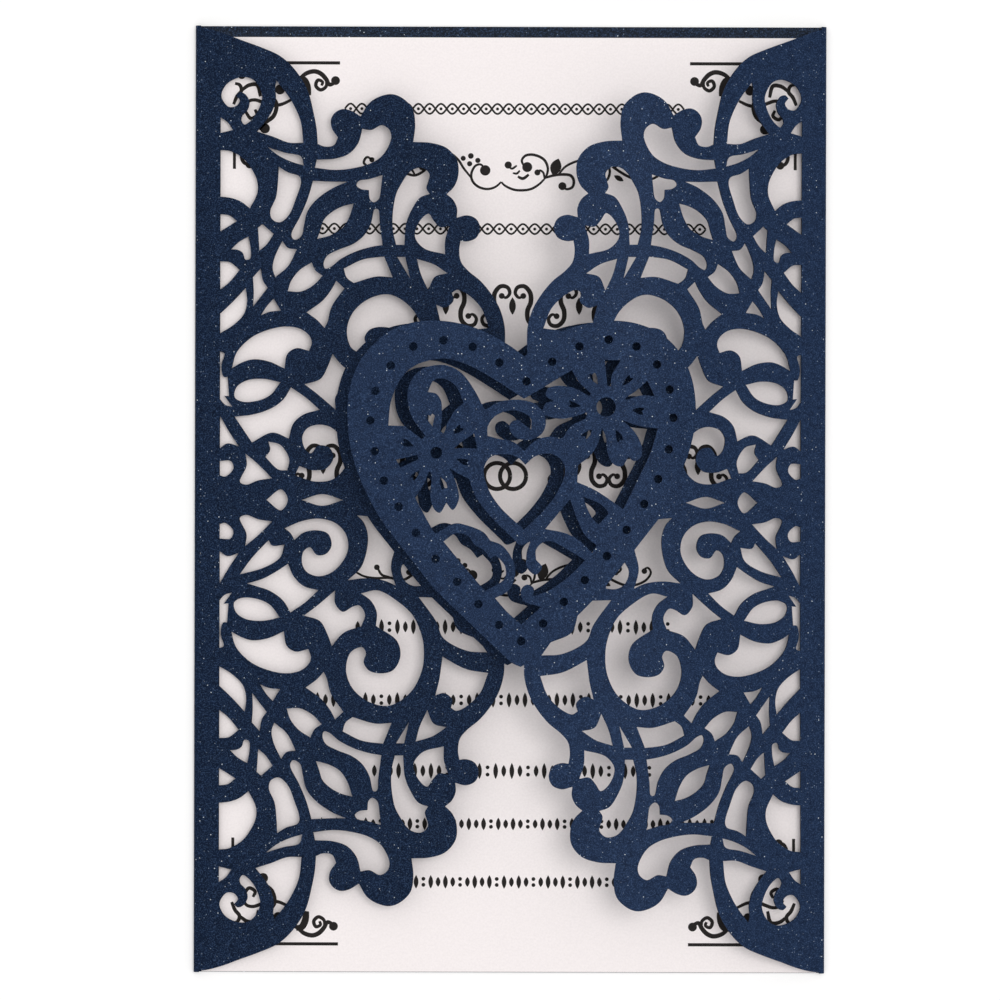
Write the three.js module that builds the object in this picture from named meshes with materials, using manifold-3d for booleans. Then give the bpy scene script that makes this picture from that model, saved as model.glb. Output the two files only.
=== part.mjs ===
// Gatefold invitation card: one laser-cut navy sheet wrapped round a loose white insert.
// Millimetres. The card lies on its back: +X right, +Y up the card, +Z towards the reader.
import * as THREE from 'three';
import { mergeVertices } from 'three/addons/utils/BufferGeometryUtils.js';
import Module from 'manifold-3d';

// Driving dimensions of the wrap
const cardWidth = 120;
const cardHeight = 180;
const sheetThickness = 0.3;
const foldGap = 0.75;
const foldFacets = 5;
const plainPastFold = 0.4;
const leftFlapAngle = 4.5;

// The right flap springs up from its fold, then eases level where it lies over the left heart
const rightFlapAngles = [22.5, 16, 8, 0.5];
const rightBendStart = 24;
const rightBendStep = 7;
const twistPerMm = 0.0016;

// Driving dimensions of the insert
const insertWidth = 117;
const insertHeight = 177.8;
const insertThickness = 0.35;
const insertSlip = 1;
const restGap = 0.05;

// The lace is drawn on a fine grid. Its fold line, middle line and units to the millimetre:
const foldLine = 194;
const middleLine = 500.5;
const unitsAcross = 5.24;
const unitsUp = 5.28;

// The heart is drawn on the same grid, about its own centre line
const heartLine = 522;
const heartUnits = 5.334;
const heartCentre = 59.8;
const heartDotRadius = 0.8;
const leftFlowerRadius = 1.1;
const rightFlowerRadius = 1.8;
const dotSides = 6;

// A curve is thinned to points that stay this close to it
const curveTolerance = 0.25;
const samplesPerSpan = 8;
const mergeDistance = 0.002;

// Points are [across, down], and a third value of 1 makes the point a sharp corner

// Edge of the flap above the middle line, from the fold to the stalk that carries the heart
const flapEdge = [
  [194, 27, 1], [205, 27.5], [222, 32], [240, 38.8], [260, 46.3], [278, 54.5], [291, 65.7], [303, 82.5],
  [308, 94], [312.3, 111.3], [315.5, 128], [316.7, 143.5, 1], [324, 146.2], [333, 144.8], [337, 137, 1],
  [331, 128], [330, 119], [334, 112.3], [341.3, 108.7], [350, 110.3], [359.7, 116.2, 1], [367.7, 103.3],
  [378, 96.6], [390, 94], [400, 97.2], [411, 108], [414, 124], [412.1, 142, 1], [430, 143], [446, 148.5],
  [456, 161], [457, 175.5], [453, 186.5], [445.5, 194.3, 1], [452, 200], [455.9, 208.7], [455.5, 218, 1],
  [466.2, 215.6], [475.3, 219.5], [478.8, 228.6], [475, 238], [466.2, 241.6], [459.5, 241, 1],
  [458.2, 250], [460, 262], [467, 270.8], [479.2, 281], [490, 294], [498.7, 309.2], [503.5, 326.6],
  [504, 340], [503.3, 356, 1],
];

// Cuts that stand above the middle line and, mirrored, below it
const mirroredCuts = {
  cornerSwirl: [
    [220, 95], [224, 84.3], [232, 78.3], [243, 75.8], [252, 78.8], [258.5, 87], [261, 96], [257, 109.5],
    [250, 119.5], [243.3, 123.7], [240, 118.7], [241.3, 114.3, 1], [246, 109.5], [248.2, 100.5],
    [243, 92.4], [238, 91.3], [234.7, 94.5, 1], [238.7, 99.5], [235, 105], [227.3, 105.7],
  ],
  cornerWedge: [[219.3, 116.3, 1], [226, 121], [232, 129, 1], [219.3, 132, 1]],
  shoulderWedge: [
    [275.3, 79.7, 1], [285.3, 92.6], [292.5, 104], [299.7, 121], [302.3, 142.3, 1], [288, 142],
    [272, 136], [256, 130.7, 1], [265, 119.7], [271.5, 109], [274.7, 97], [274, 86],
  ],
  upperPetal: [
    [219.3, 149, 1], [229.3, 150.3], [243, 158.5], [251, 169], [256.2, 180.5], [256.5, 192],
    [249, 208, 1], [240, 201], [230, 197.3], [219.3, 196, 1],
  ],
  spineTriangle: [[219.3, 213.5, 1], [228, 214.8], [236, 220.6, 1], [219.3, 231, 1]],
  shoulderSliver: [
    [266.7, 146.5, 1], [284, 152], [300, 156], [302.9, 165, 1], [290, 161], [277.3, 154.7],
  ],
  shoulderLeaf: [
    [277.7, 166, 1], [287, 171.8], [298.3, 175.8], [300.2, 181], [295, 198.5], [288, 214.8],
    [279, 222], [271, 218.5], [269.3, 210.7], [275, 196.7], [277, 180],
  ],
  longTail: [
    [312, 180.3, 1], [330, 181.3], [347, 181.5, 1], [333, 187.3], [316.3, 198.8], [306.5, 211.5],
    [303.3, 225], [300.5, 236], [293.5, 239.5], [290.5, 234.5], [299.3, 216], [306, 200.5], [310.5, 186],
  ],
  innerLobe: [
    [361.3, 128.3, 1], [370, 129.7], [380.8, 124.9], [388.3, 129.7], [390.2, 138], [382, 154.8],
    [370, 163], [352, 168], [334, 169.6], [314, 167.3, 1], [315.7, 159.2, 1], [334, 158.2],
    [348, 153.3], [357.3, 142.5],
  ],
  bird: [
    [381.6, 174.9, 1], [368, 178.9], [358, 180.7], [355.5, 185], [360, 188.8], [368, 190, 1],
    [369, 199], [373, 202.3], [378, 198.8], [380.3, 186],
  ],
  curvedTail: [
    [374, 208.8], [377.5, 209.5], [378.8, 222], [381.8, 245, 1], [370, 247], [355, 251.5], [340, 259],
    [330, 267], [324.5, 268.5], [322.8, 264], [326, 256], [338, 249.5], [352, 244], [363, 235.5],
    [370, 223.5],
  ],
  lobeLens: [
    [353, 203.3, 1], [342, 206], [331.7, 211.3], [323, 219.5], [319.5, 230], [316.3, 238.8, 1],
    [330, 235], [341, 228.5], [348, 218],
  ],
  stalkPetal: [
    [406, 174.7], [413, 169], [422, 168], [428.5, 174.5], [427, 182], [425.4, 188.5], [428.7, 194, 1],
    [419, 197.8], [411.5, 208.5], [405.5, 223], [403.5, 245, 1], [395.3, 244.8, 1], [392, 230],
    [392, 212], [395.5, 193], [401, 182.5],
  ],
  spineKite: [
    [261.5, 223.5, 1], [257, 227.3, 1], [257.8, 239], [258.5, 250.5, 1], [266, 244], [273, 233.7, 1],
  ],
  boomerang: [
    [247.5, 236, 1], [238, 241.5], [230, 249, 1], [237, 249.5], [241.8, 252.5], [244.5, 259.3],
    [249.3, 258.3], [249.8, 248],
  ],
  spineSail: [[219.3, 261, 1], [229, 262], [239, 269.5, 1], [229, 281.5], [219.3, 289.5, 1]],
  thorn: [
    [260, 268, 1], [252, 277, 1], [252.9, 291], [252.3, 306.7, 1], [259, 298], [267, 287.5, 1],
    [262.3, 280.5],
  ],
  cutLeaf: [
    [281.5, 240.5, 1], [274, 256.5], [271.8, 268], [274.5, 277, 1], [287, 266.5], [293, 256],
    [296, 249, 1], [287, 247.5],
  ],
  broadLeaf: [
    [287, 291, 1], [290.5, 280.5], [299, 269.8], [311, 262, 1], [314.5, 270], [322, 275.7, 1],
    [313, 285], [300, 291.5],
  ],
  spineLeaf: [
    [245, 287.5, 1], [232, 301.5], [219.3, 313.5, 1], [219.3, 333.3, 1], [232, 325.5], [243, 314.5],
    [246.4, 302],
  ],
  smallFan: [[273, 298.5, 1], [266.5, 305.5], [260, 315.5, 1], [269, 311.8], [280.3, 310.5, 1]],
  crescent: [
    [231, 368.5, 1], [236, 352.5], [250, 338], [266, 330.3], [285, 326.5], [300, 329], [309, 336],
    [311.3, 343], [308.5, 351, 1], [296, 348.3], [287, 354], [284, 368.7, 1], [268, 361.5],
    [252, 359.5], [240, 363.3],
  ],
  spineLoop: [
    [280, 382.5, 1], [262, 379], [245, 381], [235.5, 388], [234, 397.5], [242, 402], [257, 401],
    [270, 395.2],
  ],
  spineSliver: [
    [219.3, 351.5, 1], [223.8, 353.5], [221, 364], [221.2, 372], [223.5, 377.3], [227, 377, 1],
    [228.5, 396.5, 1], [223.7, 396, 1], [232, 407.3, 1], [224.5, 405], [219.3, 399.5, 1],
  ],
  thinTriangle: [[396.5, 257, 1], [404.5, 257, 1], [409.3, 278.5, 1]],
  roundWedge: [
    [343, 268.5, 1], [362, 259.5], [383.5, 256.5, 1], [392, 277.5, 1], [376, 276.6], [353, 283, 1],
    [346, 277.5],
  ],
  slantedLeaf: [
    [335.5, 280.5, 1], [331, 289], [322, 300.5], [306, 312.3, 1], [317, 320.5], [324, 328.2, 1],
    [327, 322], [331, 307], [343.7, 288.3, 1],
  ],
  droppedPetal: [
    [427.5, 213.8], [418.5, 221.5], [414, 236.5], [423, 248.3], [444, 254.3, 1], [444.3, 240],
    [448.7, 226, 1], [439, 227.2], [432.5, 220.5],
  ],
  fin: [[416, 259, 1], [433, 264.5], [446.5, 273.5, 1], [434, 277], [427.5, 290.5, 1], [420, 274]],
  spineTooth: [
    [219.5, 416, 1], [219.3, 449, 1], [227, 443.9], [238.5, 447, 1], [228, 431],
  ],
  spineHalfRound: [[219.3, 461.5, 1], [230.5, 461.7], [233.2, 469], [225, 477.2], [219.3, 476, 1]],
  star: [
    [245, 454, 1], [246.2, 466], [239.5, 482.5], [246, 485.3], [258, 481], [272, 478.8, 1], [257, 464],
  ],
  beltStar: [
    [304, 384.5, 1], [316, 393.5], [335.3, 410, 1], [335.3, 397], [343, 388.5], [352.5, 393.5],
    [359.5, 394.9], [365.2, 386], [361.5, 374, 1], [344, 367.5], [332, 354, 1], [327.5, 366],
    [320, 379],
  ],
  ringCut: [
    [361, 407, 1], [378, 410], [398, 399], [413, 385], [421.5, 366], [424, 350], [422, 330],
    [411, 308.5], [390, 294.8], [370, 298], [353, 311.5], [346.3, 330], [351, 348], [362.5, 353],
    [366.2, 347.5], [364, 338], [369, 330], [380, 327], [393, 330], [400.5, 344], [397, 359.5],
    [376, 374.5, 1], [376.8, 388], [371, 399.5],
  ],
  hipWedge: [
    [357, 485.2, 1], [371.3, 484, 1], [395.5, 453.5, 1], [391, 434], [395.5, 415, 1], [384, 420],
    [366, 422.2], [348, 420.2, 1], [361.5, 434], [368, 462], [364, 477.5],
  ],
  hipPocket: [[406, 442, 1], [401, 432], [405, 419.5], [413, 414.8], [424, 415, 1], [424, 430, 1]],
  waistLeaf: [
    [418.7, 403.5, 1], [440, 403, 1], [451, 391, 1], [457.5, 371.5], [478, 361.5, 1], [487, 348.5, 1],
    [466, 350.3], [443, 363], [436.5, 378.5],
  ],
  heartPetal: [
    [442.5, 344, 1], [466, 331.8], [488, 328, 1], [480, 308], [466, 294.2], [456, 290], [451, 293, 1],
    [452.5, 301], [444, 307.7], [435.5, 305, 1], [439.5, 322],
  ],
};

// Cuts round the middle line that differ above and below it
const upperCuts = {
  belly: [
    [234, 417, 1], [253, 414.7], [271, 408.5], [283, 399.5], [290.5, 387.5, 1], [305, 397.5],
    [319.3, 410, 1], [303, 415], [293, 424], [288.5, 439, 1], [272, 433], [251.5, 443, 1],
  ],
  bellyMoon: [
    [268, 442, 1], [280, 445.3], [289, 459.5], [287, 471, 1], [278, 470], [265, 457.5, 1],
    [269.7, 450.5],
  ],
  swirl: [
    [302, 437], [307, 428.5], [318, 425], [330, 427.3], [340, 436], [346, 446.5], [348.3, 457],
    [343, 470.5], [332, 480], [315, 482], [294.5, 476, 1], [299, 466.5, 1], [312, 470.6],
    [326, 468.8], [333.2, 458], [329, 448], [318, 446], [310.5, 453.8], [304.5, 449],
  ],
};
const lowerCuts = {
  bellyStar: [
    [247, 416.5, 1], [262, 421], [276, 428.5], [288, 436.5, 1], [294, 423.5], [304, 414], [318.5, 410, 1],
    [305, 397.5], [290.5, 387.5, 1], [283, 399.5], [270, 409], [257, 413.5],
  ],
  drop: [
    [239.5, 425.5, 1], [252, 442.5], [268.5, 460.2, 1], [272, 454.7], [284.5, 455.5, 1], [280, 442.5],
    [264, 432.5],
  ],
  longSwirl: [
    [302, 437], [307, 428], [318, 424], [330, 427], [341, 436.5], [348, 451], [346, 466], [336, 477],
    [320, 481.7], [302, 479.3], [284.5, 472, 1], [290.5, 467], [294.3, 460.2, 1], [304, 468],
    [318, 470], [328, 466.5], [331.5, 455], [326, 446.5], [317, 445.3], [310, 453], [303.5, 449],
  ],
};

// Lens cuts that lie across the middle line
const middleCuts = {
  blade: [[266, 500.5, 1], [281, 490], [287.8, 500.5], [281, 511]],
  eye: [[301.5, 500.5, 1], [322, 494.7], [343, 500.5, 1], [322, 506.3]],
};

// Outline of the heart, and the cuts that give it flowers and scrolls, as seen from the front
const heartEdge = [
  [523, 358, 1], [511, 349], [495.7, 339.7], [473, 329.3], [449.8, 323.6], [430, 322.5], [408.5, 325],
  [390, 332.2], [372.9, 346], [360.3, 361], [352.2, 379.3], [347.6, 400], [347.2, 420], [351, 451],
  [362, 484], [381, 520], [404, 550], [436, 590], [470, 623], [505, 656], [514, 664], [522, 667.5, 1],
  [530, 663], [548, 647], [576, 619], [606, 587], [640, 543], [664, 508], [681, 475], [692, 446],
  [697, 415], [693, 381], [680, 354], [660, 335], [634, 324.5], [610, 322], [585, 325], [560, 333],
  [539, 345.5],
];
const heartCuts = {
  upperGap: [
    [388, 427, 1], [390.5, 403], [400, 380.5], [411, 369.3], [424, 363.3], [445, 360.3], [470, 368],
    [500, 385], [523, 400, 1], [541, 389.5], [561, 377], [570.5, 371.5, 1], [577, 382.5],
    [589.5, 394.5, 1], [588, 397.3, 1], [573, 389.3], [556, 387], [547, 389.5], [544.7, 397],
    [553, 402.3, 1], [545, 404.3], [541.5, 411.5, 1], [531, 403.5], [516, 401], [499, 403],
    [484, 411.3, 1], [473.5, 391.5], [461, 375], [449, 368], [437, 366.5], [420, 371.5],
    [409, 385], [407, 400], [411, 417.5], [425, 437.3, 1], [421.5, 440.5, 1], [404, 427.5, 1],
  ],
  roundLeafWindow: [
    [427, 393.5, 1], [433, 381.8], [442, 380], [454.5, 387], [463, 404.5, 1], [455, 411],
    [446.5, 425, 1], [443, 434.5], [440, 432, 1], [441.3, 415], [440.3, 402], [435.5, 395.3],
  ],
  centreScroll: [
    [487, 437, 1], [487.2, 428], [493.5, 418.3], [504, 412.7], [516, 412], [529.5, 418.8],
    [530.5, 430.5, 1], [524.3, 426.5], [516.5, 421.2], [509.7, 424.3], [509.3, 432], [517, 439.5],
    [529, 441], [541, 435], [545, 425], [544, 416.5, 1], [561, 420], [586, 413.7, 1],
    [585, 419.5, 1], [570, 427.5], [562, 439.3, 1], [545, 438], [533, 443], [524, 452, 1],
    [512, 442.7], [497, 439.7],
  ],
  heartWindow: [
    [525, 465.7, 1], [516.5, 458], [503, 455.2], [490, 458.5], [483.7, 470], [487.5, 488],
    [498.5, 506], [524, 530.7, 1], [543.5, 511.5], [558, 491.5], [564.7, 471.5], [560, 460],
    [549, 454.7], [535, 457.3],
  ],
  lowerGap: [
    [449, 469, 1], [459, 475.3], [469, 479.8, 1], [475, 496.5], [490, 516.5], [514.5, 540.5, 1],
    [520.5, 546], [530.5, 542.5, 1], [527, 554], [528, 569], [536, 575.5], [542.5, 568], [536.5, 560.5, 1],
    [536.5, 550.5], [543, 543.3], [551, 541.8], [565, 548.5], [585.5, 561, 1], [569, 577.5],
    [549, 591.5], [533.5, 597, 1], [534.5, 589], [527.5, 585.4], [521.7, 591], [524.5, 601.5],
    [542, 607.8, 1], [522.5, 625, 1], [508, 612.5], [496, 599, 1], [509.5, 591], [516, 574],
    [512, 558.5], [502, 546], [490.7, 541.5, 1], [484, 533.3], [466, 526], [455, 524.5],
    [435.5, 535, 1], [426, 518.5], [415.5, 499, 1], [424, 485], [429.5, 472.8], [431.5, 477],
    [430.5, 497], [434.5, 510.5], [440, 514], [446.5, 504, 1], [453, 511], [459, 500],
    [455, 481],
  ],
  leftScrollWindow: [
    [444, 542.5, 1], [456.5, 534.3], [468, 536.5], [475, 545.5], [484, 551], [491, 559.5, 1],
    [496.5, 556, 1], [505.5, 567], [505.5, 579], [486, 592, 1], [464, 566.5],
  ],
  waistTriangle: [
    [545.5, 529.8, 1], [556, 517], [570, 500, 1], [577, 519.5], [586, 537], [597, 546, 1],
    [592.5, 553.5, 1], [579.5, 541.3], [565, 533.8],
  ],
  sidePanel: [
    [601, 429, 1], [605, 438], [606.5, 453], [612.5, 464.5], [621, 467.2], [627.8, 457.7, 1],
    [633.5, 461.7], [640.5, 457.7], [641, 447], [634, 433], [621, 421, 1], [638, 426.7],
    [657, 429.3, 1], [650.5, 452], [638, 479], [623, 510, 1], [609, 500], [594, 490.5], [577, 483, 1],
    [577.5, 466, 1], [588, 458], [596.5, 446],
  ],
  bigDrop: [
    [583, 497.5, 1], [600, 504.7], [608, 514], [604, 519.2, 1], [598.5, 524.5], [592, 518.5, 1],
    [587, 509],
  ],
  topWedge: [[603, 361, 1], [619, 361.5, 1], [610.5, 376], [609.5, 387.5, 1], [606, 387, 1]],
  rightWedge: [
    [624, 399, 1], [635, 391.5], [646, 381.5, 1], [653.5, 397, 1], [640, 396.3], [625.5, 401, 1],
  ],
  eastWedge: [[454, 449.5, 1], [463, 442], [473.5, 434.8, 1], [476.8, 449.8, 1], [465, 449.3]],
  westBar: [[396, 461, 1], [417, 456.3, 1], [418.5, 460.5, 1], [400.5, 469, 1]],
};

// Small drops and little hearts between the petals of the two flowers
const petalDrops = [
  [[432.5, 416.7, 1], [431, 428.5, 1], [426, 418, 1]],
  [[404.5, 441, 1], [414, 447.8, 1], [402, 447.5, 1]],
  [[419, 472, 1], [414, 481.5, 1], [410.5, 479, 1]],
  [[440.3, 478.5, 1], [447, 489, 1], [440.8, 490.3, 1]],
  [[456.5, 460, 1], [469, 461, 1], [467, 467, 1]],
  [[453.5, 435, 1], [459, 426.7, 1], [463.3, 430.5, 1]],
  [[588, 373.5, 1], [593.5, 376, 1], [596.3, 385.5, 1]],
  [[627, 376, 1], [631.5, 379.5, 1], [621.5, 387, 1]],
  [[631.5, 410.5, 1], [643, 409, 1], [641.5, 415.5, 1]],
  [[615, 431, 1], [622, 441.5, 1], [617.3, 443, 1]],
  [[580, 437, 1], [589.5, 430.5, 1], [586.5, 439.7, 1]],
  [[568.5, 401, 1], [579.5, 406.5, 1], [568, 407.3, 1]],
];
const leftFlower = [436, 454];
const rightFlower = [605, 408];

// Dots round the rim: the top and tip dots, and the dots of each side
const rimDots = [
  [525.3, 382.7], [522.4, 641.8],
  [498, 364.1], [471.3, 348.3], [442.1, 342], [412.3, 348.3], [389.9, 367.2], [374.8, 392.7],
  [370, 422], [374.6, 452.8], [384, 482], [398.9, 507.8], [416.5, 534], [436.3, 559.8],
  [458.1, 582.7], [479.3, 604.9], [500.2, 625.6],
  [550.8, 363.2], [577.7, 347.7], [606.8, 340.8], [634.7, 347.5], [655.8, 365.3], [669, 390.2],
  [673.2, 418.3], [668.8, 449.9], [658.1, 479.7], [644.2, 504.7], [626.6, 530.5], [607.1, 556.6],
  [585.3, 580.7], [564.6, 602.5], [544, 624.1],
];

const degrees = Math.PI / 180;
const foldRadius = (foldGap + sheetThickness) / 2;
const panelHalf = cardWidth / 2 - sheetThickness / 2 - foldRadius;
const wasm = await Module();
wasm.setup();

// Sheet coordinates: s runs from the card's middle across the panel, round the fold and along the flap
function foldArc(angle) {
  return foldRadius * (180 - angle) * degrees;
}

function alongSheet(fromFold, angle) {
  const arcEnd = sheetThickness / 2 + foldRadius - foldRadius * Math.sin(angle * degrees);
  return panelHalf + foldArc(angle) + fromFold - arcEnd;
}

function lacePoint([x, y, corner], angle, flipped) {
  const across = alongSheet((x - foldLine) / unitsAcross, angle);
  const up = (middleLine - y) / unitsUp;
  return [across, flipped ? -up : up, corner];
}

// The heart looks the same on both flaps from the front, so its side towards the fold changes
function heartPoint([x, y, corner], angle, side) {
  const fromFold = heartCentre - side * (x - heartLine) / heartUnits;
  return [alongSheet(fromFold, angle), (middleLine - y) / heartUnits, corner];
}

// Smooth stretch through its points, thinned to the tolerance
function smoothStretch(points) {
  const curve = new THREE.CatmullRomCurve3(
    points.map(([x, y]) => new THREE.Vector3(x, y, 0)), false, 'centripetal');
  const samples = curve.getPoints((points.length - 1) * samplesPerSpan);
  return thinned(samples.map((p) => [p.x, p.y]));
}

function thinned(points) {
  const [ax, ay] = points[0];
  const [bx, by] = points[points.length - 1];
  const length = Math.hypot(bx - ax, by - ay);
  let farthest = 0;
  let split = 0;
  for (let i = 1; i < points.length - 1; i += 1) {
    const [x, y] = points[i];
    const cross = (bx - ax) * (y - ay) - (by - ay) * (x - ax);
    const distance = length > 1e-6 ? Math.abs(cross) / length : Math.hypot(x - ax, y - ay);
    if (distance > farthest) {
      farthest = distance;
      split = i;
    }
  }
  if (farthest <= curveTolerance) return [points[0], points[points.length - 1]];
  return [...thinned(points.slice(0, split + 1)).slice(0, -1), ...thinned(points.slice(split))];
}

// Closed outline: smooth between corners, or smooth all round where it has no corner
function outline(points) {
  const first = points.findIndex((point) => point[2]);
  const start = Math.max(first, 0);
  const turned = [...points.slice(start), ...points.slice(0, start), points[start]];
  if (first < 0) {
    const curve = new THREE.CatmullRomCurve3(
      points.map(([x, y]) => new THREE.Vector3(x, y, 0)), true, 'centripetal');
    const samples = curve.getPoints(points.length * samplesPerSpan).map((p) => [p.x, p.y]);
    return thinned(samples).slice(0, -1);
  }
  const result = [];
  let stretch = [turned[0]];
  for (const point of turned.slice(1)) {
    stretch.push(point);
    if (point[2]) {
      result.push(...(stretch.length > 2 ? smoothStretch(stretch) : stretch).slice(0, -1));
      stretch = [point];
    }
  }
  return result;
}

function circle([x, y], radius) {
  const points = [];
  for (let i = 0; i < dotSides; i += 1) {
    const turn = 2 * Math.PI * i / dotSides;
    points.push([x + radius * Math.cos(turn), y + radius * Math.sin(turn)]);
  }
  return points;
}

// Prism over an outline, standing on the flat sheet
function prism(points) {
  const shape = new THREE.Shape(points.map(([x, y]) => new THREE.Vector2(x, y)));
  const raw = new THREE.ExtrudeGeometry(shape, { depth: sheetThickness, bevelEnabled: false });
  raw.deleteAttribute('normal');
  raw.deleteAttribute('uv');
  const merged = mergeVertices(raw, 1e-4);
  return new wasm.Manifold(new wasm.Mesh({
    numProp: 3,
    vertProperties: new Float32Array(merged.attributes.position.array),
    triVerts: new Uint32Array(merged.index.array),
  }));
}

function joined(solids) {
  return solids.reduce((sum, solid) => sum.add(solid));
}

// One flap of the flat sheet: lace joined to a filled heart, then the heart's own cuts
function flatFlap(angle, side) {
  const lace = (flipped) => (points) => prism(outline(points.map((p) => lacePoint(p, angle, flipped))));
  const heart = (points) => prism(outline(points.map((p) => heartPoint(p, angle, side))));
  const dot = (centre, radius) => prism(circle(heartPoint(centre, angle, side), radius));
  const upper = lace(false);
  const lower = lace(true);
  const half = [...flapEdge, [503.3, middleLine + 2, 1], [foldLine, middleLine + 2, 1]];
  const laceCuts = joined([
    ...Object.values(mirroredCuts).flatMap((points) => [upper(points), lower(points)]),
    ...Object.values(upperCuts).map(upper),
    ...Object.values(lowerCuts).map(lower),
    ...Object.values(middleCuts).map(upper),
  ]);
  const inHeart = joined([
    ...Object.values(heartCuts).map(heart),
    ...petalDrops.map(heart),
    ...rimDots.map((centre) => dot(centre, heartDotRadius)),
    dot(leftFlower, leftFlowerRadius),
    dot(rightFlower, rightFlowerRadius),
  ]);
  return upper(half).add(lower(half)).subtract(laceCuts).add(heart(heartEdge)).subtract(inHeart);
}

// Flat developed sheet in one piece
function flatSheet() {
  const reach = panelHalf + foldArc(leftFlapAngle) + plainPastFold;
  const half = cardHeight / 2;
  const panel = prism([[-reach, -half], [reach, -half], [reach, half], [-reach, half]]);
  const left = flatFlap(leftFlapAngle, -1).mirror([1, 0, 0]);
  const right = flatFlap(rightFlapAngles[0], 1);
  return joined([panel, left, right]);
}

// Triangles of the sheet's lower face, strip by strip, so that every crease is an edge of them
function creasedFace(sheet, creases) {
  const points = [];
  const triangles = [];
  const pointAt = (x, y) => {
    const near = points.findIndex(([px, py]) => Math.hypot(px - x, py - y) < mergeDistance);
    return near < 0 ? points.push([x, y]) - 1 : near;
  };
  const edges = [-cardWidth * 2, ...creases, cardWidth * 2];
  for (let i = 1; i < edges.length; i += 1) {
    const [from, to] = [edges[i - 1], edges[i]];
    const strip = prism([[from, -cardHeight], [to, -cardHeight], [to, cardHeight], [from, cardHeight]]);
    const mesh = sheet.intersect(strip).getMesh();
    const corner = (v) => mesh.vertProperties.slice(v * mesh.numProp, v * mesh.numProp + 3);
    for (let t = 0; t < mesh.triVerts.length; t += 3) {
      const corners = [...mesh.triVerts.slice(t, t + 3)].map(corner);
      if (corners.some(([, , z]) => Math.abs(z) > 1e-6)) continue;
      const triangle = corners.map(([x, y]) => pointAt(x, y));
      if (new Set(triangle).size === 3) triangles.push(triangle);
    }
  }
  return { points, triangles };
}

// Straight runs of the folded section from the card's middle outwards: [run length, turn before the run]
function sectionRuns(angles, twist) {
  const arc = foldArc(angles[0]);
  const turn = (180 - angles[0] * twist) / foldFacets;
  const runs = [[panelHalf, 0]];
  for (let i = 0; i < foldFacets; i += 1) runs.push([arc / foldFacets, i ? turn : turn / 2]);
  const bends = angles.slice(1).map((angle, i) => (angle - angles[i]) * twist);
  runs.push([angles.length > 1 ? rightBendStart : cardWidth, turn / 2]);
  bends.forEach((bend, i) => {
    runs.push([i === bends.length - 1 ? cardWidth : rightBendStep, -bend]);
  });
  return runs;
}

function creaseLines(angles) {
  let s = 0;
  return sectionRuns(angles, 1).slice(0, -1).map(([length]) => {
    s += length;
    return s;
  });
}

// Where a point of the sheet lies once the section is folded, offset to one of its faces
function foldedPoint(s, face, angles, twist) {
  const runs = sectionRuns(angles, twist);
  let heading = 0;
  let x = 0;
  let z = sheetThickness / 2;
  let left = s;
  for (let i = 0; i < runs.length; i += 1) {
    const [length, turn] = runs[i];
    heading += turn * degrees;
    const step = Math.min(left, length);
    x += step * Math.cos(heading);
    z += step * Math.sin(heading);
    left -= step;
    if (left <= 1e-9) {
      const ends = Math.abs(step - length) < 1e-9 && i < runs.length - 1;
      const mitre = ends ? runs[i + 1][1] * degrees / 2 : 0;
      const offset = face * sheetThickness / 2 / Math.cos(mitre);
      return [x - offset * Math.sin(heading + mitre), z + offset * Math.cos(heading + mitre)];
    }
  }
  return [x, z];
}

function foldedVertex([s, y], face) {
  const right = s >= 0;
  const angles = right ? rightFlapAngles : [leftFlapAngle];
  const twist = right ? 1 + twistPerMm * y : 1;
  const [x, z] = foldedPoint(Math.abs(s), face, angles, twist);
  return [right ? x : -x, y, z];
}

// Thick sheet from the flat triangles: both faces, and a wall along every free edge
function thickSheet({ points, triangles }) {
  const positions = [
    ...points.flatMap((point) => foldedVertex(point, -1)),
    ...points.flatMap((point) => foldedVertex(point, 1)),
  ];
  const count = points.length;
  const indices = [];
  const edges = new Set(triangles.flatMap(([a, b, c]) => [`${a}_${b}`, `${b}_${c}`, `${c}_${a}`]));
  for (const triangle of triangles) {
    const [a, b, c] = triangle;
    indices.push(a, b, c, a + count, c + count, b + count);
    for (const [p, q] of [[a, b], [b, c], [c, a]]) {
      if (edges.has(`${q}_${p}`)) continue;
      indices.push(q, p, p + count, q, p + count, q + count);
    }
  }
  const geometry = new THREE.BufferGeometry();
  geometry.setAttribute('position', new THREE.Float32BufferAttribute(positions, 3));
  geometry.setIndex(indices);
  return geometry;
}

function gatefoldWrap() {
  const leftCreases = creaseLines([leftFlapAngle]).map((crease) => -crease).reverse();
  const face = creasedFace(flatSheet(), [...leftCreases, ...creaseLines(rightFlapAngles)]);
  const navyPearl = new THREE.MeshStandardMaterial({ color: 0x23334d, roughness: 0.55, metalness: 0.1 });
  const mesh = new THREE.Mesh(thickSheet(face), navyPearl);
  mesh.name = 'gatefold_wrap';
  return mesh;
}

function insertCard() {
  const whitePearl = new THREE.MeshStandardMaterial({ color: 0xf2eeec, roughness: 0.6, metalness: 0 });
  const mesh = new THREE.Mesh(
    new THREE.BoxGeometry(insertWidth, insertHeight, insertThickness), whitePearl);
  mesh.name = 'insert_card';
  mesh.position.set(0, -insertSlip, sheetThickness + restGap + insertThickness / 2);
  return mesh;
}

const card = new THREE.Group();
card.add(gatefoldWrap());
card.add(insertCard());

export default card;
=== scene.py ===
# Looks of the gatefold invitation card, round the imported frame.
# Drawn in millimetres and scaled to metres where the meshes are made.
import math

import bpy
import numpy as np
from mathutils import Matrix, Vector, geometry

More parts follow.
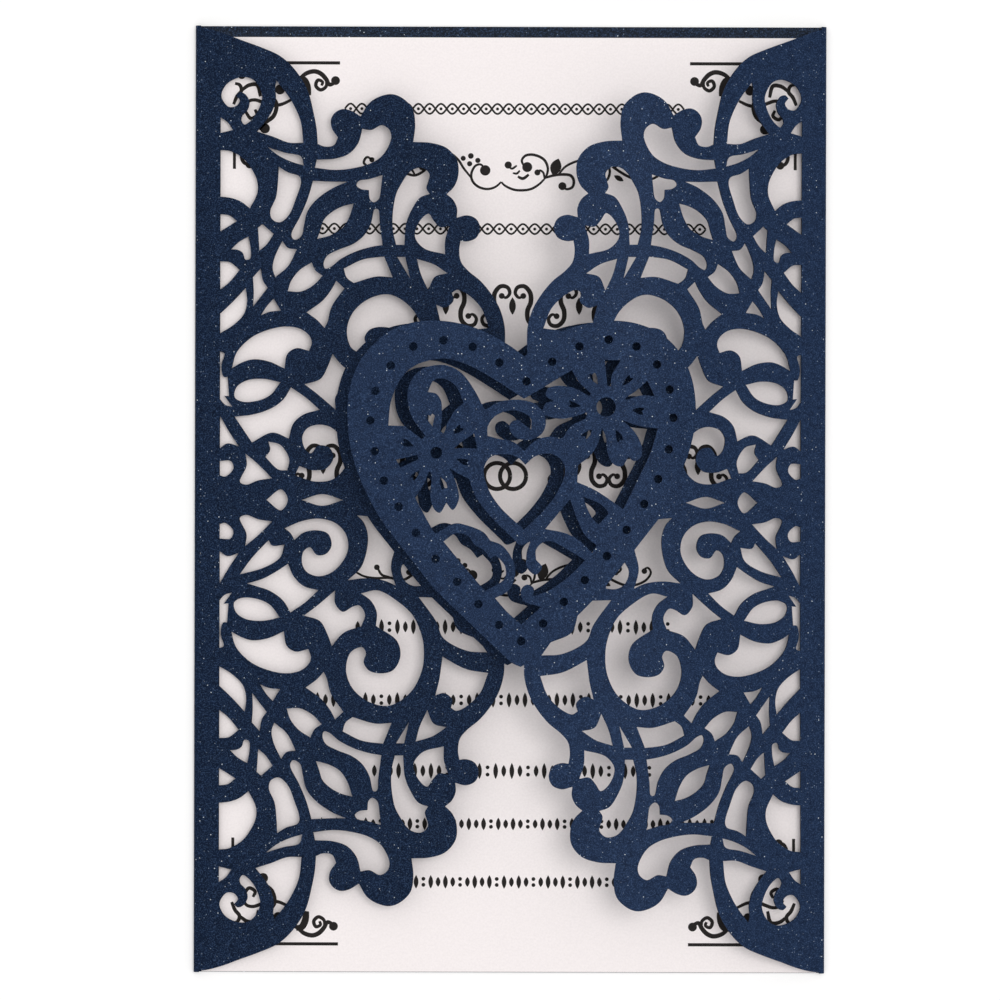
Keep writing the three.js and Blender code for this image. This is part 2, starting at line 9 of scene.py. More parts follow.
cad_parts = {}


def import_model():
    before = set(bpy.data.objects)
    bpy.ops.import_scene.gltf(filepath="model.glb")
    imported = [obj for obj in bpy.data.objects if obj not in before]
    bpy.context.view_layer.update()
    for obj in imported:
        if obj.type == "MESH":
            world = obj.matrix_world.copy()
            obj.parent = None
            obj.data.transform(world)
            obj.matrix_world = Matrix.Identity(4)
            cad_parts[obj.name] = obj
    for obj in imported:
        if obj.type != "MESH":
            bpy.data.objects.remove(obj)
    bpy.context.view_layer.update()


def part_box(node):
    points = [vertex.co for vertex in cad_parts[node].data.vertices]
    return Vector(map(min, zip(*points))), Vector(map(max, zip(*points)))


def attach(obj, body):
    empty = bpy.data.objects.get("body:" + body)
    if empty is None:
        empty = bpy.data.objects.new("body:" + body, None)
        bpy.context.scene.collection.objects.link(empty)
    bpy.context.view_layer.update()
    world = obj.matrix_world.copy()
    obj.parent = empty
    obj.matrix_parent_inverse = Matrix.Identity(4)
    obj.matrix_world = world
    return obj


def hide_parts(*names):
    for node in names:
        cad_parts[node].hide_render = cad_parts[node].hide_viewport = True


MM = 0.001

# Wrap
CARD_WIDTH = 120.0
CARD_HEIGHT = 180.0
SHEET = 0.3
FOLD_GAP = 0.75
PLAIN_PAST_FOLD = 0.4
LEFT_ANGLE = 4.5
RIGHT_ANGLE = 20.5
RIGHT_END_ANGLE = 0.5
RIGHT_EASE_START = 25.0
RIGHT_EASE_END = 45.0
TWIST_PER_MM = 0.0016
FOLD_STRIPS = 12
BEND_STEP = 2.5
GRID_STEP = 6.0
FLAP_REACH = 98.0
FOLD_STRETCH = 1

# Insert
INSERT_TOP = 0.7
INSERT_EASE = 0.05
INK_LIFT = 0.012
INK_THICKNESS = 0.012

# Marks that cross differ a little in height, over this many levels
INK_STAGGER = 0.0004
INK_LEVELS = 7

# The lace is drawn on a fine grid. Its fold line, its middle line, by how much its upper and lower
# halves overlap there, and its units to the millimetre:
FOLD_LINE = 194
MIDDLE_LINE = 500.5
HALVES_OVERLAP = 1
UNITS_ACROSS = 5.24
UNITS_UP = 5.28

# The flaps were folded by hand, so each lace sits a little off its drawing: (drop, squeeze, slip)
LEFT_LACE_SET = (0.17, 0.0012, 0)
RIGHT_LACE_SET = (0.52, 0.0044, 0.36)
LOOSE_FROM = 4.0
SLIP_END = 46.0
SLIP_FADE = 14.0
SLIP_BOTTOM = -75.0
SLIP_RISE = 50.0

# The heart is drawn on the same grid, about its own centre line
HEART_LINE = 522
HEART_UNITS = 5.334
HEART_CENTRE = 59.8
BACK_HEART_WIDENS_FROM = 560
BACK_HEART_WIDENS = 0.05
RIM_DOT_RADIUS = 0.8
LEFT_FLOWER_RADIUS = 1.1
RIGHT_FLOWER_RADIUS = 1.8
DOT_SIDES = 28

# Curves are sampled this finely, and points nearer than this become one
SAMPLE_STEP = 0.35
MERGE_DISTANCE = 0.0001

# Edges sharper than this stay sharp
SMOOTH_ANGLE = 40

# Turns below TINY count as straight, and gaps between points count as SHORTEST at least
TINY = 1e-9
SHORTEST = 1e-6

# Camera and light
CAMERA_HEIGHT = 750.0
VIEW_WIDTH = 190.476
CAMERA_X = -1.904
CAMERA_Y = -0.095
CAMERA_ROLL = 0.14
SENSOR_WIDTH = 36
CLIP_START = 0.05
WORLD_STRENGTH = 0.735
KEY_PLACE = (0.26, 0.1, 1.06)
KEY_POWER = 3.85
KEY_SIZE = 0.6
KEY_COLOUR = (1, 0.985, 0.97)
BACKDROP_TONES = ((0.9, 0.9, 0.9, 1), (0.92, 0.92, 0.92, 1))
BACKDROP_GLOW = 0.12
FLOOR_HALF = 1500.0
FLOOR_BELOW = 0.01

# Tones of the materials as screen colours from 0 to 255, each as (low, high)
NAVY_TONES = ((14, 29, 53), (24, 41, 68))
BURNT_TONES = ((8, 12, 24), (20, 26, 40))
WHITE_TONES = ((242, 235, 235), (249, 242, 242))
INK_TONES = ((16, 12, 12), (30, 24, 23))

# Painted shade: the left flap, its heart included, looks a little deeper where its pearl turns away from the
# light and lies in the front heart's shade, so it gets its own darker copy of the navy
SHADED_LEFT_NAVY_TONES = ((4, 18, 38), (9, 26, 50))

# The inside of the panel, seen above the insert, looks greyer
INSIDE_NAVY_TONES = ((15, 21, 31), (25, 32, 43))

# Mica in the navy card: its pale grain, and its glints and its few bright specks, which are painted
# highlights of light catching the flakes, whole to this share of their radius
GRAIN_TONE = (76, 101, 141)
GRAIN_STRENGTH = 0.45
PAINTED_GLINT_TONE = (170, 188, 212)
PAINTED_GLINT_STRENGTH = 0.6
PAINTED_SPECK_TONE = (222, 232, 242)
SPECK_CORE = 0.6

# The wrap's materials, in the order in which it has them
# The third material is the darker navy copy that paints shade on the left flap
NAVY, BURNT, SHADED_LEFT_NAVY, INSIDE_NAVY = range(4)

# Points are (across, down), and a third value of 1 makes the point a sharp corner

# Edge of the flap above the middle line, from the fold to the stalk that carries the heart
FLAP_EDGE = [
    (194, 27, 1), (205, 27.5), (222, 32), (240, 38.8), (260, 46.3), (278, 54.5), (291, 65.7), (303, 82.5),
    (308, 94), (312.3, 111.3), (315.5, 128), (316.7, 143.5, 1), (324, 146.2), (333, 144.8), (337, 137, 1),
    (331, 128), (330, 119), (334, 112.3), (341.3, 108.7), (350, 110.3), (359.7, 116.2, 1), (367.7, 103.3),
    (378, 96.6), (390, 94), (400, 97.2), (411, 108), (414, 124), (412.1, 142, 1), (430, 143), (446, 148.5),
    (456, 161), (457, 175.5), (453, 186.5), (445.5, 194.3, 1), (452, 200), (455.9, 208.7), (455.5, 218, 1),
    (466.2, 215.6), (475.3, 219.5), (478.8, 228.6), (475, 238), (466.2, 241.6), (459.5, 241, 1),
    (458.2, 250), (460, 262), (467, 270.8), (479.2, 281), (490, 294), (498.7, 309.2), (503.5, 326.6),
    (504, 340), (503.3, 356, 1),
]

# Cuts that stand above the middle line and, mirrored, below it
MIRRORED_CUTS = {
    "corner_swirl": [
        (220, 95), (224, 84.3), (232, 78.3), (243, 75.8), (252, 78.8), (258.5, 87), (261, 96), (257, 109.5),
        (250, 119.5), (243.3, 123.7), (240, 118.7), (241.3, 114.3, 1), (246, 109.5), (248.2, 100.5),
        (243, 92.4), (238, 91.3), (234.7, 94.5, 1), (238.7, 99.5), (235, 105), (227.3, 105.7),
    ],
    "corner_wedge": [(219.3, 116.3, 1), (226, 121), (232, 129, 1), (219.3, 132, 1)],
    "shoulder_wedge": [
        (275.3, 79.7, 1), (285.3, 92.6), (292.5, 104), (299.7, 121), (302.3, 142.3, 1), (288, 142),
        (272, 136), (256, 130.7, 1), (265, 119.7), (271.5, 109), (274.7, 97), (274, 86),
    ],
    "upper_petal": [
        (219.3, 149, 1), (229.3, 150.3), (243, 158.5), (251, 169), (256.2, 180.5), (256.5, 192),
        (249, 208, 1), (240, 201), (230, 197.3), (219.3, 196, 1),
    ],
    "spine_triangle": [(219.3, 213.5, 1), (228, 214.8), (236, 220.6, 1), (219.3, 231, 1)],
    "shoulder_sliver": [
        (266.7, 146.5, 1), (284, 152), (300, 156), (302.9, 165, 1), (290, 161), (277.3, 154.7),
    ],
    "shoulder_leaf": [
        (277.7, 166, 1), (287, 171.8), (298.3, 175.8), (300.2, 181), (295, 198.5), (288, 214.8),
        (279, 222), (271, 218.5), (269.3, 210.7), (275, 196.7), (277, 180),
    ],
    "long_tail": [
        (312, 180.3, 1), (330, 181.3), (347, 181.5, 1), (333, 187.3), (316.3, 198.8), (306.5, 211.5),
        (303.3, 225), (300.5, 236), (293.5, 239.5), (290.5, 234.5), (299.3, 216), (306, 200.5), (310.5, 186),
    ],
    "inner_lobe": [
        (361.3, 128.3, 1), (370, 129.7), (380.8, 124.9), (388.3, 129.7), (390.2, 138), (382, 154.8),
        (370, 163), (352, 168), (334, 169.6), (314, 167.3, 1), (315.7, 159.2, 1), (334, 158.2),
        (348, 153.3), (357.3, 142.5),
    ],
    "bird": [
        (381.6, 174.9, 1), (368, 178.9), (358, 180.7), (355.5, 185), (360, 188.8), (368, 190, 1),
        (369, 199), (373, 202.3), (378, 198.8), (380.3, 186),
    ],
    "curved_tail": [
        (374, 208.8), (377.5, 209.5), (378.8, 222), (381.8, 245, 1), (370, 247), (355, 251.5), (340, 259),
        (330, 267), (324.5, 268.5), (322.8, 264), (326, 256), (338, 249.5), (352, 244), (363, 235.5),
        (370, 223.5),
    ],
    "lobe_lens": [
        (353, 203.3, 1), (342, 206), (331.7, 211.3), (323, 219.5), (319.5, 230), (316.3, 238.8, 1),
        (330, 235), (341, 228.5), (348, 218),
    ],
    "stalk_petal": [
        (406, 174.7), (413, 169), (422, 168), (428.5, 174.5), (427, 182), (425.4, 188.5), (428.7, 194, 1),
        (419, 197.8), (411.5, 208.5), (405.5, 223), (403.5, 245, 1), (395.3, 244.8, 1), (392, 230),
        (392, 212), (395.5, 193), (401, 182.5),
    ],
    "spine_kite": [
        (261.5, 223.5, 1), (257, 227.3, 1), (257.8, 239), (258.5, 250.5, 1), (266, 244), (273, 233.7, 1),
    ],
    "boomerang": [
        (247.5, 236, 1), (238, 241.5), (230, 249, 1), (237, 249.5), (241.8, 252.5), (244.5, 259.3),
        (249.3, 258.3), (249.8, 248),
    ],
    "spine_sail": [(219.3, 261, 1), (229, 262), (239, 269.5, 1), (229, 281.5), (219.3, 289.5, 1)],
    "thorn": [
        (260, 268, 1), (252, 277, 1), (252.9, 291), (252.3, 306.7, 1), (259, 298), (267, 287.5, 1),
        (262.3, 280.5),
    ],
    "cut_leaf": [
        (281.5, 240.5, 1), (274, 256.5), (271.8, 268), (274.5, 277, 1), (287, 266.5), (293, 256),
        (296, 249, 1), (287, 247.5),
    ],
    "broad_leaf": [
        (287, 291, 1), (290.5, 280.5), (299, 269.8), (311, 262, 1), (314.5, 270), (322, 275.7, 1),
        (313, 285), (300, 291.5),
    ],
    "spine_leaf": [
        (245, 287.5, 1), (232, 301.5), (219.3, 313.5, 1), (219.3, 333.3, 1), (232, 325.5), (243, 314.5),
        (246.4, 302),
    ],
    "small_fan": [(273, 298.5, 1), (266.5, 305.5), (260, 315.5, 1), (269, 311.8), (280.3, 310.5, 1)],
    "crescent": [
        (231, 368.5, 1), (236, 352.5), (250, 338), (266, 330.3), (285, 326.5), (300, 329), (309, 336),
        (311.3, 343), (308.5, 351, 1), (296, 348.3), (287, 354), (284, 368.7, 1), (268, 361.5),
        (252, 359.5), (240, 363.3),
    ],
    "spine_loop": [
        (280, 382.5, 1), (262, 379), (245, 381), (235.5, 388), (234, 397.5), (242, 402), (257, 401),
        (270, 395.2),
    ],
    "spine_sliver": [
        (219.3, 351.5, 1), (223.8, 353.5), (221, 364), (221.2, 372), (223.5, 377.3), (227, 377, 1),
        (228.5, 396.5, 1), (223.7, 396, 1), (232, 407.3, 1), (224.5, 405), (219.3, 399.5, 1),
    ],
    "thin_triangle": [(396.5, 257, 1), (404.5, 257, 1), (409.3, 278.5, 1)],
    "round_wedge": [
        (343, 268.5, 1), (362, 259.5), (383.5, 256.5, 1), (392, 277.5, 1), (376, 276.6), (353, 283, 1),
        (346, 277.5),
    ],
    "slanted_leaf": [
        (335.5, 280.5, 1), (331, 289), (322, 300.5), (306, 312.3, 1), (317, 320.5), (324, 328.2, 1),
        (327, 322), (331, 307), (343.7, 288.3, 1),
    ],
    "dropped_petal": [
        (427.5, 213.8), (418.5, 221.5), (414, 236.5), (423, 248.3), (444, 254.3, 1), (444.3, 240),
        (448.7, 226, 1), (439, 227.2), (432.5, 220.5),
    ],
    "fin": [(416, 259, 1), (433, 264.5), (446.5, 273.5, 1), (434, 277), (427.5, 290.5, 1), (420, 274)],
    "spine_tooth": [
        (219.5, 416, 1), (219.3, 449, 1), (227, 443.9), (238.5, 447, 1), (228, 431),
    ],
    "spine_half_round": [(219.3, 461.5, 1), (230.5, 461.7), (233.2, 469), (225, 477.2), (219.3, 476, 1)],
    "star": [
        (245, 454, 1), (246.2, 466), (239.5, 482.5), (246, 485.3), (258, 481), (272, 478.8, 1), (257, 464),
    ],
    "belt_star": [
        (304, 384.5, 1), (316, 393.5), (335.3, 410, 1), (335.3, 397), (343, 388.5), (352.5, 393.5),
        (359.5, 394.9), (365.2, 386), (361.5, 374, 1), (344, 367.5), (332, 354, 1), (327.5, 366),
        (320, 379),
    ],
    "ring_cut": [
        (361, 407, 1), (378, 410), (398, 399), (413, 385), (421.5, 366), (424, 350), (422, 330),
        (411, 308.5), (390, 294.8), (370, 298), (353, 311.5), (346.3, 330), (351, 348), (362.5, 353),
        (366.2, 347.5), (364, 338), (369, 330), (380, 327), (393, 330), (400.5, 344), (397, 359.5),
        (376, 374.5, 1), (376.8, 388), (371, 399.5),
    ],
    "hip_wedge": [
        (357, 485.2, 1), (371.3, 484, 1), (395.5, 453.5, 1), (391, 434), (395.5, 415, 1), (384, 420),
        (366, 422.2), (348, 420.2, 1), (361.5, 434), (368, 462), (364, 477.5),
    ],
    "hip_pocket": [(406, 442, 1), (401, 432), (405, 419.5), (413, 414.8), (424, 415, 1), (424, 430, 1)],
    "waist_leaf": [
        (418.7, 403.5, 1), (440, 403, 1), (451, 391, 1), (457.5, 371.5), (478, 361.5, 1), (487, 348.5, 1),
        (466, 350.3), (443, 363), (436.5, 378.5),
    ],
    "heart_petal": [
        (442.5, 344, 1), (466, 331.8), (488, 328, 1), (480, 308), (466, 294.2), (456, 290), (451, 293, 1),
        (452.5, 301), (444, 307.7), (435.5, 305, 1), (439.5, 322),
    ],
}

# Cuts round the middle line that differ above and below it
UPPER_CUTS = {
    "belly": [
        (234, 417, 1), (253, 414.7), (271, 408.5), (283, 399.5), (290.5, 387.5, 1), (305, 397.5),
        (319.3, 410, 1), (303, 415), (293, 424), (288.5, 439, 1), (272, 433), (251.5, 443, 1),
    ],
    "belly_moon": [
        (268, 442, 1), (280, 445.3), (289, 459.5), (287, 471, 1), (278, 470), (265, 457.5, 1),
        (269.7, 450.5),
    ],
    "swirl": [
        (302, 437), (307, 428.5), (318, 425), (330, 427.3), (340, 436), (346, 446.5), (348.3, 457),
        (343, 470.5), (332, 480), (315, 482), (294.5, 476, 1), (299, 466.5, 1), (312, 470.6),
        (326, 468.8), (333.2, 458), (329, 448), (318, 446), (310.5, 453.8), (304.5, 449),
    ],
}
LOWER_CUTS = {
    "belly_star": [
        (247, 416.5, 1), (262, 421), (276, 428.5), (288, 436.5, 1), (294, 423.5), (304, 414), (318.5, 410, 1),
        (305, 397.5), (290.5, 387.5, 1), (283, 399.5), (270, 409), (257, 413.5),
    ],
    "drop": [
        (239.5, 425.5, 1), (252, 442.5), (268.5, 460.2, 1), (272, 454.7), (284.5, 455.5, 1), (280, 442.5),
        (264, 432.5),
    ],
    "long_swirl": [
        (302, 437), (307, 428), (318, 424), (330, 427), (341, 436.5), (348, 451), (346, 466), (336, 477),
        (320, 481.7), (302, 479.3), (284.5, 472, 1), (290.5, 467), (294.3, 460.2, 1), (304, 468),
        (318, 470), (328, 466.5), (331.5, 455), (326, 446.5), (317, 445.3), (310, 453), (303.5, 449),
    ],
}

# Lens cuts that lie across the middle line
MIDDLE_CUTS = {
    "blade": [(266, 500.5, 1), (281, 490), (287.8, 500.5), (281, 511)],
    "eye": [(301.5, 500.5, 1), (322, 494.7), (343, 500.5, 1), (322, 506.3)],
}

# Outline of the heart, and the cuts that give it flowers and scrolls, as seen from the front
HEART_EDGE = [
    (523, 358, 1), (511, 349), (495.7, 339.7), (473, 329.3), (449.8, 323.6), (430, 322.5), (408.5, 325),
    (390, 332.2), (372.9, 346), (360.3, 361), (352.2, 379.3), (347.6, 400), (347.2, 420), (351, 451),
    (362, 484), (381, 520), (404, 550), (436, 590), (470, 623), (505, 656), (514, 664), (522, 667.5, 1),
    (530, 663), (548, 647), (576, 619), (606, 587), (640, 543), (664, 508), (681, 475), (692, 446),
    (697, 415), (693, 381), (680, 354), (660, 335), (634, 324.5), (610, 322), (585, 325), (560, 333),
    (539, 345.5),
]
HEART_CUTS = {
    "upper_gap": [
        (388, 427, 1), (390.5, 403), (400, 380.5), (411, 369.3), (424, 363.3), (445, 360.3), (470, 368),
        (500, 385), (523, 400, 1), (541, 389.5), (561, 377), (570.5, 371.5, 1), (577, 382.5),
        (589.5, 394.5, 1), (588, 397.3, 1), (573, 389.3), (556, 387), (547, 389.5), (544.7, 397),
        (553, 402.3, 1), (545, 404.3), (541.5, 411.5, 1), (531, 403.5), (516, 401), (499, 403),
        (484, 411.3, 1), (473.5, 391.5), (461, 375), (449, 368), (437, 366.5), (420, 371.5),
        (409, 385), (407, 400), (411, 417.5), (425, 437.3, 1), (421.5, 440.5, 1), (404, 427.5, 1),
    ],
    "round_leaf_window": [
        (427, 393.5, 1), (433, 381.8), (442, 380), (454.5, 387), (463, 404.5, 1), (455, 411),
        (446.5, 425, 1), (443, 434.5), (440, 432, 1), (441.3, 415), (440.3, 402), (435.5, 395.3),
    ],
    "centre_scroll": [
        (487, 437, 1), (487.2, 428), (493.5, 418.3), (504, 412.7), (516, 412), (529.5, 418.8),
        (530.5, 430.5, 1), (524.3, 426.5), (516.5, 421.2), (509.7, 424.3), (509.3, 432), (517, 439.5),
        (529, 441), (541, 435), (545, 425), (544, 416.5, 1), (561, 420), (586, 413.7, 1),
        (585, 419.5, 1), (570, 427.5), (562, 439.3, 1), (545, 438), (533, 443), (524, 452, 1),
        (512, 442.7), (497, 439.7),
    ],
    "heart_window": [
        (525, 465.7, 1), (516.5, 458), (503, 455.2), (490, 458.5), (483.7, 470), (487.5, 488),
        (498.5, 506), (524, 530.7, 1), (543.5, 511.5), (558, 491.5), (564.7, 471.5), (560, 460),
        (549, 454.7), (535, 457.3),
    ],
    "lower_gap": [
        (449, 469, 1), (459, 475.3), (469, 479.8, 1), (475, 496.5), (490, 516.5), (514.5, 540.5, 1),
        (520.5, 546), (530.5, 542.5, 1), (527, 554), (528, 569), (536, 575.5), (542.5, 568),
        (536.5, 560.5, 1), (536.5, 550.5), (543, 543.3), (551, 541.8), (565, 548.5), (585.5, 561, 1),
        (569, 577.5), (549, 591.5), (533.5, 597, 1), (534.5, 589), (527.5, 585.4), (521.7, 591),
        (524.5, 601.5), (542, 607.8, 1), (522.5, 625, 1), (508, 612.5), (496, 599, 1), (509.5, 591),
        (516, 574), (512, 558.5), (502, 546), (490.7, 541.5, 1), (484, 533.3), (466, 526), (455, 524.5),
        (435.5, 535, 1), (426, 518.5), (415.5, 499, 1), (424, 485), (429.5, 472.8), (431.5, 477),
        (430.5, 497), (434.5, 510.5), (440, 514), (446.5, 504, 1), (453, 511), (459, 500), (455, 481),
    ],
    "left_scroll_window": [
        (444, 542.5, 1), (456.5, 534.3), (468, 536.5), (475, 545.5), (484, 551), (491, 559.5, 1),
        (496.5, 556, 1), (505.5, 567), (505.5, 579), (486, 592, 1), (464, 566.5),
    ],
    "waist_triangle": [
        (545.5, 529.8, 1), (556, 517), (570, 500, 1), (577, 519.5), (586, 537), (597, 546, 1),
        (592.5, 553.5, 1), (579.5, 541.3), (565, 533.8),
    ],
    "side_panel": [
        (601, 429, 1), (605, 438), (606.5, 453), (612.5, 464.5), (621, 467.2), (627.8, 457.7, 1),
        (633.5, 461.7), (640.5, 457.7), (641, 447), (634, 433), (621, 421, 1), (638, 426.7),
        (657, 429.3, 1), (650.5, 452), (638, 479), (623, 510, 1), (609, 500), (594, 490.5), (577, 483, 1),
        (577.5, 466, 1), (588, 458), (596.5, 446),
    ],
    "big_drop": [
        (583, 497.5, 1), (600, 504.7), (608, 514), (604, 519.2, 1), (598.5, 524.5), (592, 518.5, 1),
        (587, 509),
    ],
    "top_wedge": [(603, 361, 1), (619, 361.5, 1), (610.5, 376), (609.5, 387.5, 1), (606, 387, 1)],
    "right_wedge": [
        (624, 399, 1), (635, 391.5), (646, 381.5, 1), (653.5, 397, 1), (640, 396.3), (625.5, 401, 1),
    ],
    "east_wedge": [(454, 449.5, 1), (463, 442), (473.5, 434.8, 1), (476.8, 449.8, 1), (465, 449.3)],
    "west_bar": [(396, 461, 1), (417, 456.3, 1), (418.5, 460.5, 1), (400.5, 469, 1)],
}

# Small drops and little hearts between the petals of the two flowers
PETAL_DROPS = [
    [(432, 428, 1), (426.5, 419.5), (427, 416.2), (430, 417.5, 1), (431.5, 415.3), (434, 417), (433.2, 422)],
    [(414, 447.8, 1), (406, 447.8), (402, 446.2), (404.3, 443.8, 1), (403, 441), (406.5, 440.8)],
    [(419.5, 472, 1), (417.5, 478), (413.5, 481.7), (412.5, 479, 1), (410.3, 479), (413, 474.8)],
    [(440.3, 478, 1), (446, 484), (447, 489.3), (444, 488.8, 1), (442.5, 491.3), (440.6, 487)],
    [(455.5, 460, 1), (463, 460), (468.6, 461.5), (466.3, 463.6, 1), (468, 466.5), (463.5, 466)],
    [(453, 435, 1), (455.5, 429), (459.3, 426), (460, 429.3, 1), (463.3, 430), (459.5, 433.5)],
    [(596.5, 385.5, 1), (590, 380.5), (588, 375), (591, 376.2, 1), (593.3, 373.8), (595.3, 378)],
    [(621, 387, 1), (624, 380), (628.3, 376), (628.6, 379, 1), (631.8, 379.3), (627.5, 383.5)],
    [(631, 411, 1), (638, 408.3), (643.3, 409.6), (640.6, 412, 1), (642.3, 415.3), (637.5, 415)],
    [(614.7, 430.5, 1), (620.3, 435.3), (622, 441), (619, 440.6, 1), (617.3, 443.2), (615, 438)],
    [(591.3, 430.3, 1), (589, 436.5), (585.2, 440), (584, 437.2, 1), (580, 437.2), (584.5, 433)],
    [(579.8, 407.3, 1), (573, 408.7), (567.5, 407.8), (569.6, 405, 1), (567.5, 401.5), (573, 403.3)],
]
LEFT_FLOWER = (436, 454)
RIGHT_FLOWER = (605, 408)

# Dots round the rim: the top and tip dots, and the dots of each side
RIM_DOTS = [
    (525.3, 382.7), (522.4, 641.8),
    (498, 364.1), (471.3, 348.3), (442.1, 342), (412.3, 348.3), (389.9, 367.2), (374.8, 392.7),
    (370, 422), (374.6, 452.8), (384, 482), (398.9, 507.8), (416.5, 534), (436.3, 559.8),
    (458.1, 582.7), (479.3, 604.9), (500.2, 625.6),
    (550.8, 363.2), (577.7, 347.7), (606.8, 340.8), (634.7, 347.5), (655.8, 365.3), (669, 390.2),
    (673.2, 418.3), (668.8, 449.9), (658.1, 479.7), (644.2, 504.7), (626.6, 530.5), (607.1, 556.6),
    (585.3, 580.7), (564.6, 602.5), (544, 624.1),
]

# The print is drawn on the same grid. Where the card's middle is on it, and its units to the millimetre:
PRINT_ACROSS = 510
PRINT_DOWN = 499.5
PRINT_UNITS = 5.255

# The corner scrolls are mirrored about these lines
PRINT_CENTRE = 514
PRINT_MIDDLE = 503.8

# Pen strokes are sampled this finely, thin out to a share of their width at their ends, and swell
# towards the middle by a power. EVEN strokes don't thin out
STROKE_STEP = 0.9
PEN_TAPER = 0.7
EVEN = 1
SWELL = 0.6
LEAF_STEPS = 16
UPRIGHT = 90

# One corner scroll, at the top left: strokes are (points, width), balls are (centre, radius)
CORNER_STROKES = [
    ([(298, 80), (305, 74), (313.6, 71.8), (320, 74.2), (325, 79.5), (328.5, 85), (334, 83)], 4.6),
    ([(297, 79), (302.5, 80), (306, 86), (307.5, 96)], 7),
    ([(325.5, 80), (325, 87), (319.5, 90.3), (314.8, 86), (317, 80.5), (321.6, 82.5), (320.5, 86)], 3.6),
    ([(299, 79), (292, 84), (286, 86), (279, 90)], 5),
    ([(234, 84), (238.5, 85.5), (240.5, 91), (236, 97), (232.6, 105)], 3.8),
    ([(240.5, 91), (248, 85.8), (256, 85.5), (259.5, 97)], 4),
    ([(244, 108), (247.5, 102), (254, 100.5), (262, 103), (270, 106), (280, 105), (290, 100.5)], 3.6),
    ([(271, 97), (275.5, 104), (273, 116), (263.5, 124), (258, 130)], 4.2),
    ([(244.5, 112), (250, 119), (256, 115.5), (254, 110)], 3.6),
    ([(248, 150), (241, 156), (243, 163), (248.5, 166)], 3.8),
]
CORNER_RULES = [((268, 63.3), (339, 63.3), 3.2), ((233.6, 140), (233.6, 169.5), 3)]
CORNER_BALLS = [
    ((334.5, 81), 4.4), ((279, 90), 5), ((264, 129), 5), ((248.6, 165), 4), ((240.7, 75.5), 4.2),
]

# Vine divider. It is printed twice, the second time lower down
VINE_STROKES = [
    ([(484, 169), (480, 164.6), (475, 165.6), (471, 172), (470.6, 178), (473, 183), (478, 187),
      (485, 189), (491, 188.4), (496, 186), (500.4, 182)], 1.5),
    ([(500.4, 182), (504, 185.5), (512, 189.3), (520, 190.3), (530, 189), (538, 184.4), (543.6, 179)], 1.5),
    ([(523, 166), (521, 160.5), (524, 156), (530, 154.5), (538, 156.3), (544, 160.5), (547, 168),
      (546.2, 174), (543.6, 179)], 1.6),
    ([(507.6, 166), (511, 168.6), (516, 165.5)], 1.3),
    ([(512, 173), (516, 173.5), (519, 170.5)], 1.3),
    ([(517, 176.5), (522, 178.5), (528, 174.5)], 1.8),
    ([(536, 172), (539, 170.3), (542.4, 172.5), (543.6, 178)], 1.3),
    ([(543.6, 178), (552, 175.5), (562, 174.3), (570, 175.5), (573, 180.5), (571.5, 187), (566, 189),
      (562, 187)], 1.7),
    ([(558, 174), (564, 167), (572, 162.5), (582, 159.5), (594, 158), (605, 161), (614, 168),
      (626, 175.5), (638, 180), (650, 179), (659, 174), (663, 167), (660, 162.5), (656, 164)], 1.6),
    ([(470.6, 178), (463, 168.5), (457, 159.5), (448, 153), (438, 153.5), (430, 160), (424, 170),
      (414, 175.5), (402, 173), (388, 173.5), (376, 171.5), (369, 168)], 1.6),
    ([(402, 172.5), (394, 170), (389.5, 163)], 1.5),
    ([(414, 175), (410, 166), (414, 159), (422, 158.5), (425, 165), (420, 169)], 1.5),
    ([(614, 168), (620, 160), (629, 158.5), (633, 164), (629, 168.5)], 1.5),
    ([(605, 161), (609, 171), (606, 180), (600, 183)], 1.5),
    ([(369, 168), (363, 163), (366, 157.5), (371, 159.5)], 1.5),
]
VINE_BALLS = [
    ((462.4, 158.4), 2.5), ((470, 156), 2.8), ((468.8, 163.8), 2.6), ((477, 160.5), 2.6),
    ((484.4, 170.4), 5.2), ((526.4, 167), 5), ((507.4, 165), 3.6), ((536.6, 172.4), 3),
    ((561.6, 186), 4.0), ((656.5, 165.8), 2.8), ((389, 162.6), 2.8), ((421, 167.5), 2.8),
    ((628, 167.5), 2.6), ((371, 160), 2.6),
]
VINE_LEAVES = [
    ((555, 167), 18, 11, 72), ((436, 166), 13, 7, 40), ((601, 178), 12, 6, 120), ((618, 178), 11, 5, -30),
    ((448, 160), 11, 5, -30),
]
SECOND_VINE = (-12, 405)
PEN_PRESSURE = 1.7

# Rows of two crossing waves: (height, from, to, size of the wave, length of an eye, stroke width)
TWIST_ROWS = [
    (109, 344, 683, 5, 11.3, 1.9),
    (229, 316, 705, 5, 11.8, 1.9),
]
EYE_DOT = 1.5
EYE_STEPS = 6

# Rows of paired scrolls, each pair mirrored: (height, from, to, size, pitch)
SCROLL_ROWS = [(306, 412, 612, 42, 33), (466, 292, 478, 42, 31), (466, 548, 728, 42, 30)]
SCROLL_STROKE = [
    (0.14, -0.24), (0.24, -0.2), (0.33, -0.3), (0.28, -0.44), (0.12, -0.47), (-0.02, -0.32), (-0.04, -0.1),
    (0.04, 0.12), (0.02, 0.34), (-0.12, 0.47), (-0.28, 0.44), (-0.33, 0.3), (-0.24, 0.2), (-0.14, 0.24),
]
SCROLL_WIDTH = 4.8
SCROLL_TAPER = 0.4
SCROLL_BALL = 2.9
SCROLL_LEAF = (0.42, 0.16)

